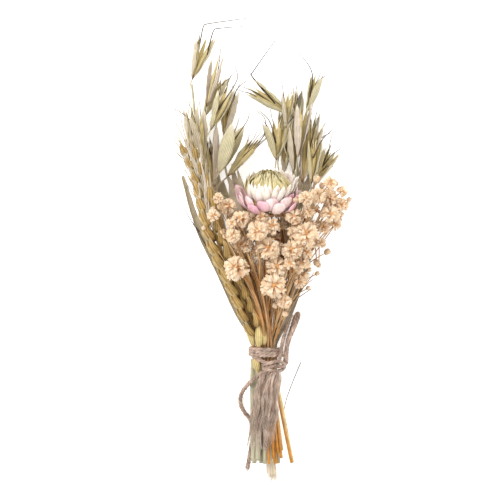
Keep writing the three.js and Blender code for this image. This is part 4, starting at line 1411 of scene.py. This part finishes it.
for number, ((x, up), (via, heads)) in enumerate(zip(SPRIG_NECK, SPRIGS), 1):
    bm = new_piece()
    foot_shift = 5.6 if number == len(SPRIGS) else 2.2
    foot = below((x, up), FOOT_Y + ((number - 1) % 3) * 2.5, foot_shift)
    line = stem_line(foot + via + [heads[0][:3]])
    tube(bm, line, culm(0.6, 0.42, (0.45, 0.62, 0.76)), 8, 0.1 * number, 0)
    for k, (hx, hy, hz, radius) in enumerate(heads):
        centre = spot(hx, hy, hz)
        twig = fork(bm, line, 0.7 + 0.06 * ((k - 1) % 5), centre, 0.6, 14) if k else line
        arrival = (twig[-1] - twig[-2]).normalized()
        tilt = (arrival * 0.6 + Vector((sprig_rng.uniform(-0.3, 0.3), 0.1, 0.9))).normalized()
        head = pompom if radius > SMALL_HEAD else bud
        head(bm, centre, radius, tilt, sprig_rng)
    # The low leaves' dark brown is partly painted shade in the middle of the bunch.
    for route, half_width in LOW_LEAVES.get(number, []):
        blade(bm, stem_line(route, 2), half_width, 0.5, pointed(0.45, 0.6), UP, 6, 0.18, 0.0, 2,
              wave=0.3, crumple=0.6, twist=0.3, seed=number)
    for hx, hy, hz, radius in BEHIND.get(number, []):
        centre = spot(hx, hy, hz)
        twig = fork(bm, line, 0.76, centre, 0.2, 12)
        pompom(bm, centre, radius, (twig[-1] - twig[-2]).normalized(), sprig_rng)
    for _ in range(TWIGS):
        start = line[int(sprig_rng.uniform(0.52, 0.9) * (len(line) - 1))]
        goal = spot(*heads[sprig_rng.randrange(len(heads))][:3])
        aside = Vector((sprig_rng.uniform(-5, 5), sprig_rng.uniform(-7, 2), sprig_rng.uniform(-8, -3)))
        goal += aside * MM
        goal.z = max(goal.z, start.z * 0.5)
        middle = start.lerp(goal, 0.5) + Vector((sprig_rng.uniform(-1, 1), 1, 0.5)) * MM
        twig = smooth_line([start, middle, goal], 10)
        tube(bm, twig, tapering(0.3, 0.2), 5, sprig_rng.random(), 0)
        bud(bm, goal, sprig_rng.uniform(0.8, 1.5), (goal - middle).normalized(), sprig_rng)
    finished(bm, f"gypsophila_{number}", [TWIG, PETAL, BROWN_LEAF_AND_SHADE], "gypsophila",
             [f"gypsophila_sprig_{number}"])
print("made", sum(len(heads) for via, heads in SPRIGS), "gypsophila flowers on", len(SPRIGS), "sprigs")

# %% [markdown]
# ## Leaves
# The dry leaves are long blades that are folded narrow where they are tied in. They curl along
# their length, twist a little and have crumpled edges.

# %% Leaves


def leaf_width(share):
    """A leaf is folded narrow at the tie, widest past its middle and narrow again at its tip."""
    return 0.2 + 0.8 * math.sin(math.pi * max(0, min(1, (share - 0.14) / 0.9))) ** 0.8


def leaf(name, route, half_width, curl, twist, tone, node, hairs=()):
    """One dry leaf blade, with the loose bristles that hang on to it."""
    bm = new_piece()
    blade(bm, stem_line(route, 1.6), half_width, curl, leaf_width, UP, 8, 0.22, tone, 0,
          wave=0.25, twist=twist, crumple=0.3, seed=4)
    leaf_rng = random.Random(name)
    for bristle in hairs:
        awn(bm, bristle, leaf_rng, 0.2, 1)
    finished(bm, name, [LEAF, AWN], "leaf", [node])


leaf("long_leaf_under", [
    (-0.2, -6, 3.15), (-0.8, 6, 3.15), (-4.2, 20, 0.9), (-7, 30, 0.25), (-13, 52, 0.25), (-20, 78, 0.25)],
    2.5, 0.2, 0.0, 0.8, "leaf_under")
leaf("long_leaf_left", [
    (-4.5, -4, 5.7), (-4.6, 5, 5.7), (-9.6, 12, 4.6), (-13.8, 20, 6.2), (-21.5, 38, 8), (-31, 58, 9),
    (-37.6, 80, 12)], 2.1, 0.7, 0.5, 0.55, "leaf_left",
    [[(-30, 55, 9.4), (-34.4, 61, 10), (-36.8, 66, 10)], [(-24, 43, 9), (-30, 54, 10), (-33, 58.6, 10)]])
leaf("long_leaf_right", [
    (4.75, -4, 8.25), (4.8, 5, 8.25), (9.4, 16, 8.6), (14, 29, 9), (18.6, 42, 8.2), (21.4, 51, 8)],
    2.5, 0.8, -0.4, 0.0, "leaf_right",
    [[(13, 26, 9.6), (18, 31, 10), (21, 33.6, 10)], [(12, 23.6, 9.6), (17, 27, 10), (20.6, 29.4, 10)],
     [(13.6, 27, 9.6), (19.6, 33.6, 10), (21.6, 36.6, 10)],
     [(16, -4.4, 0.6), (12.4, -13, 1.4), (9.6, -20.4, 2.6), (8.2, -26, 3.6)]])
print("laid three leaves")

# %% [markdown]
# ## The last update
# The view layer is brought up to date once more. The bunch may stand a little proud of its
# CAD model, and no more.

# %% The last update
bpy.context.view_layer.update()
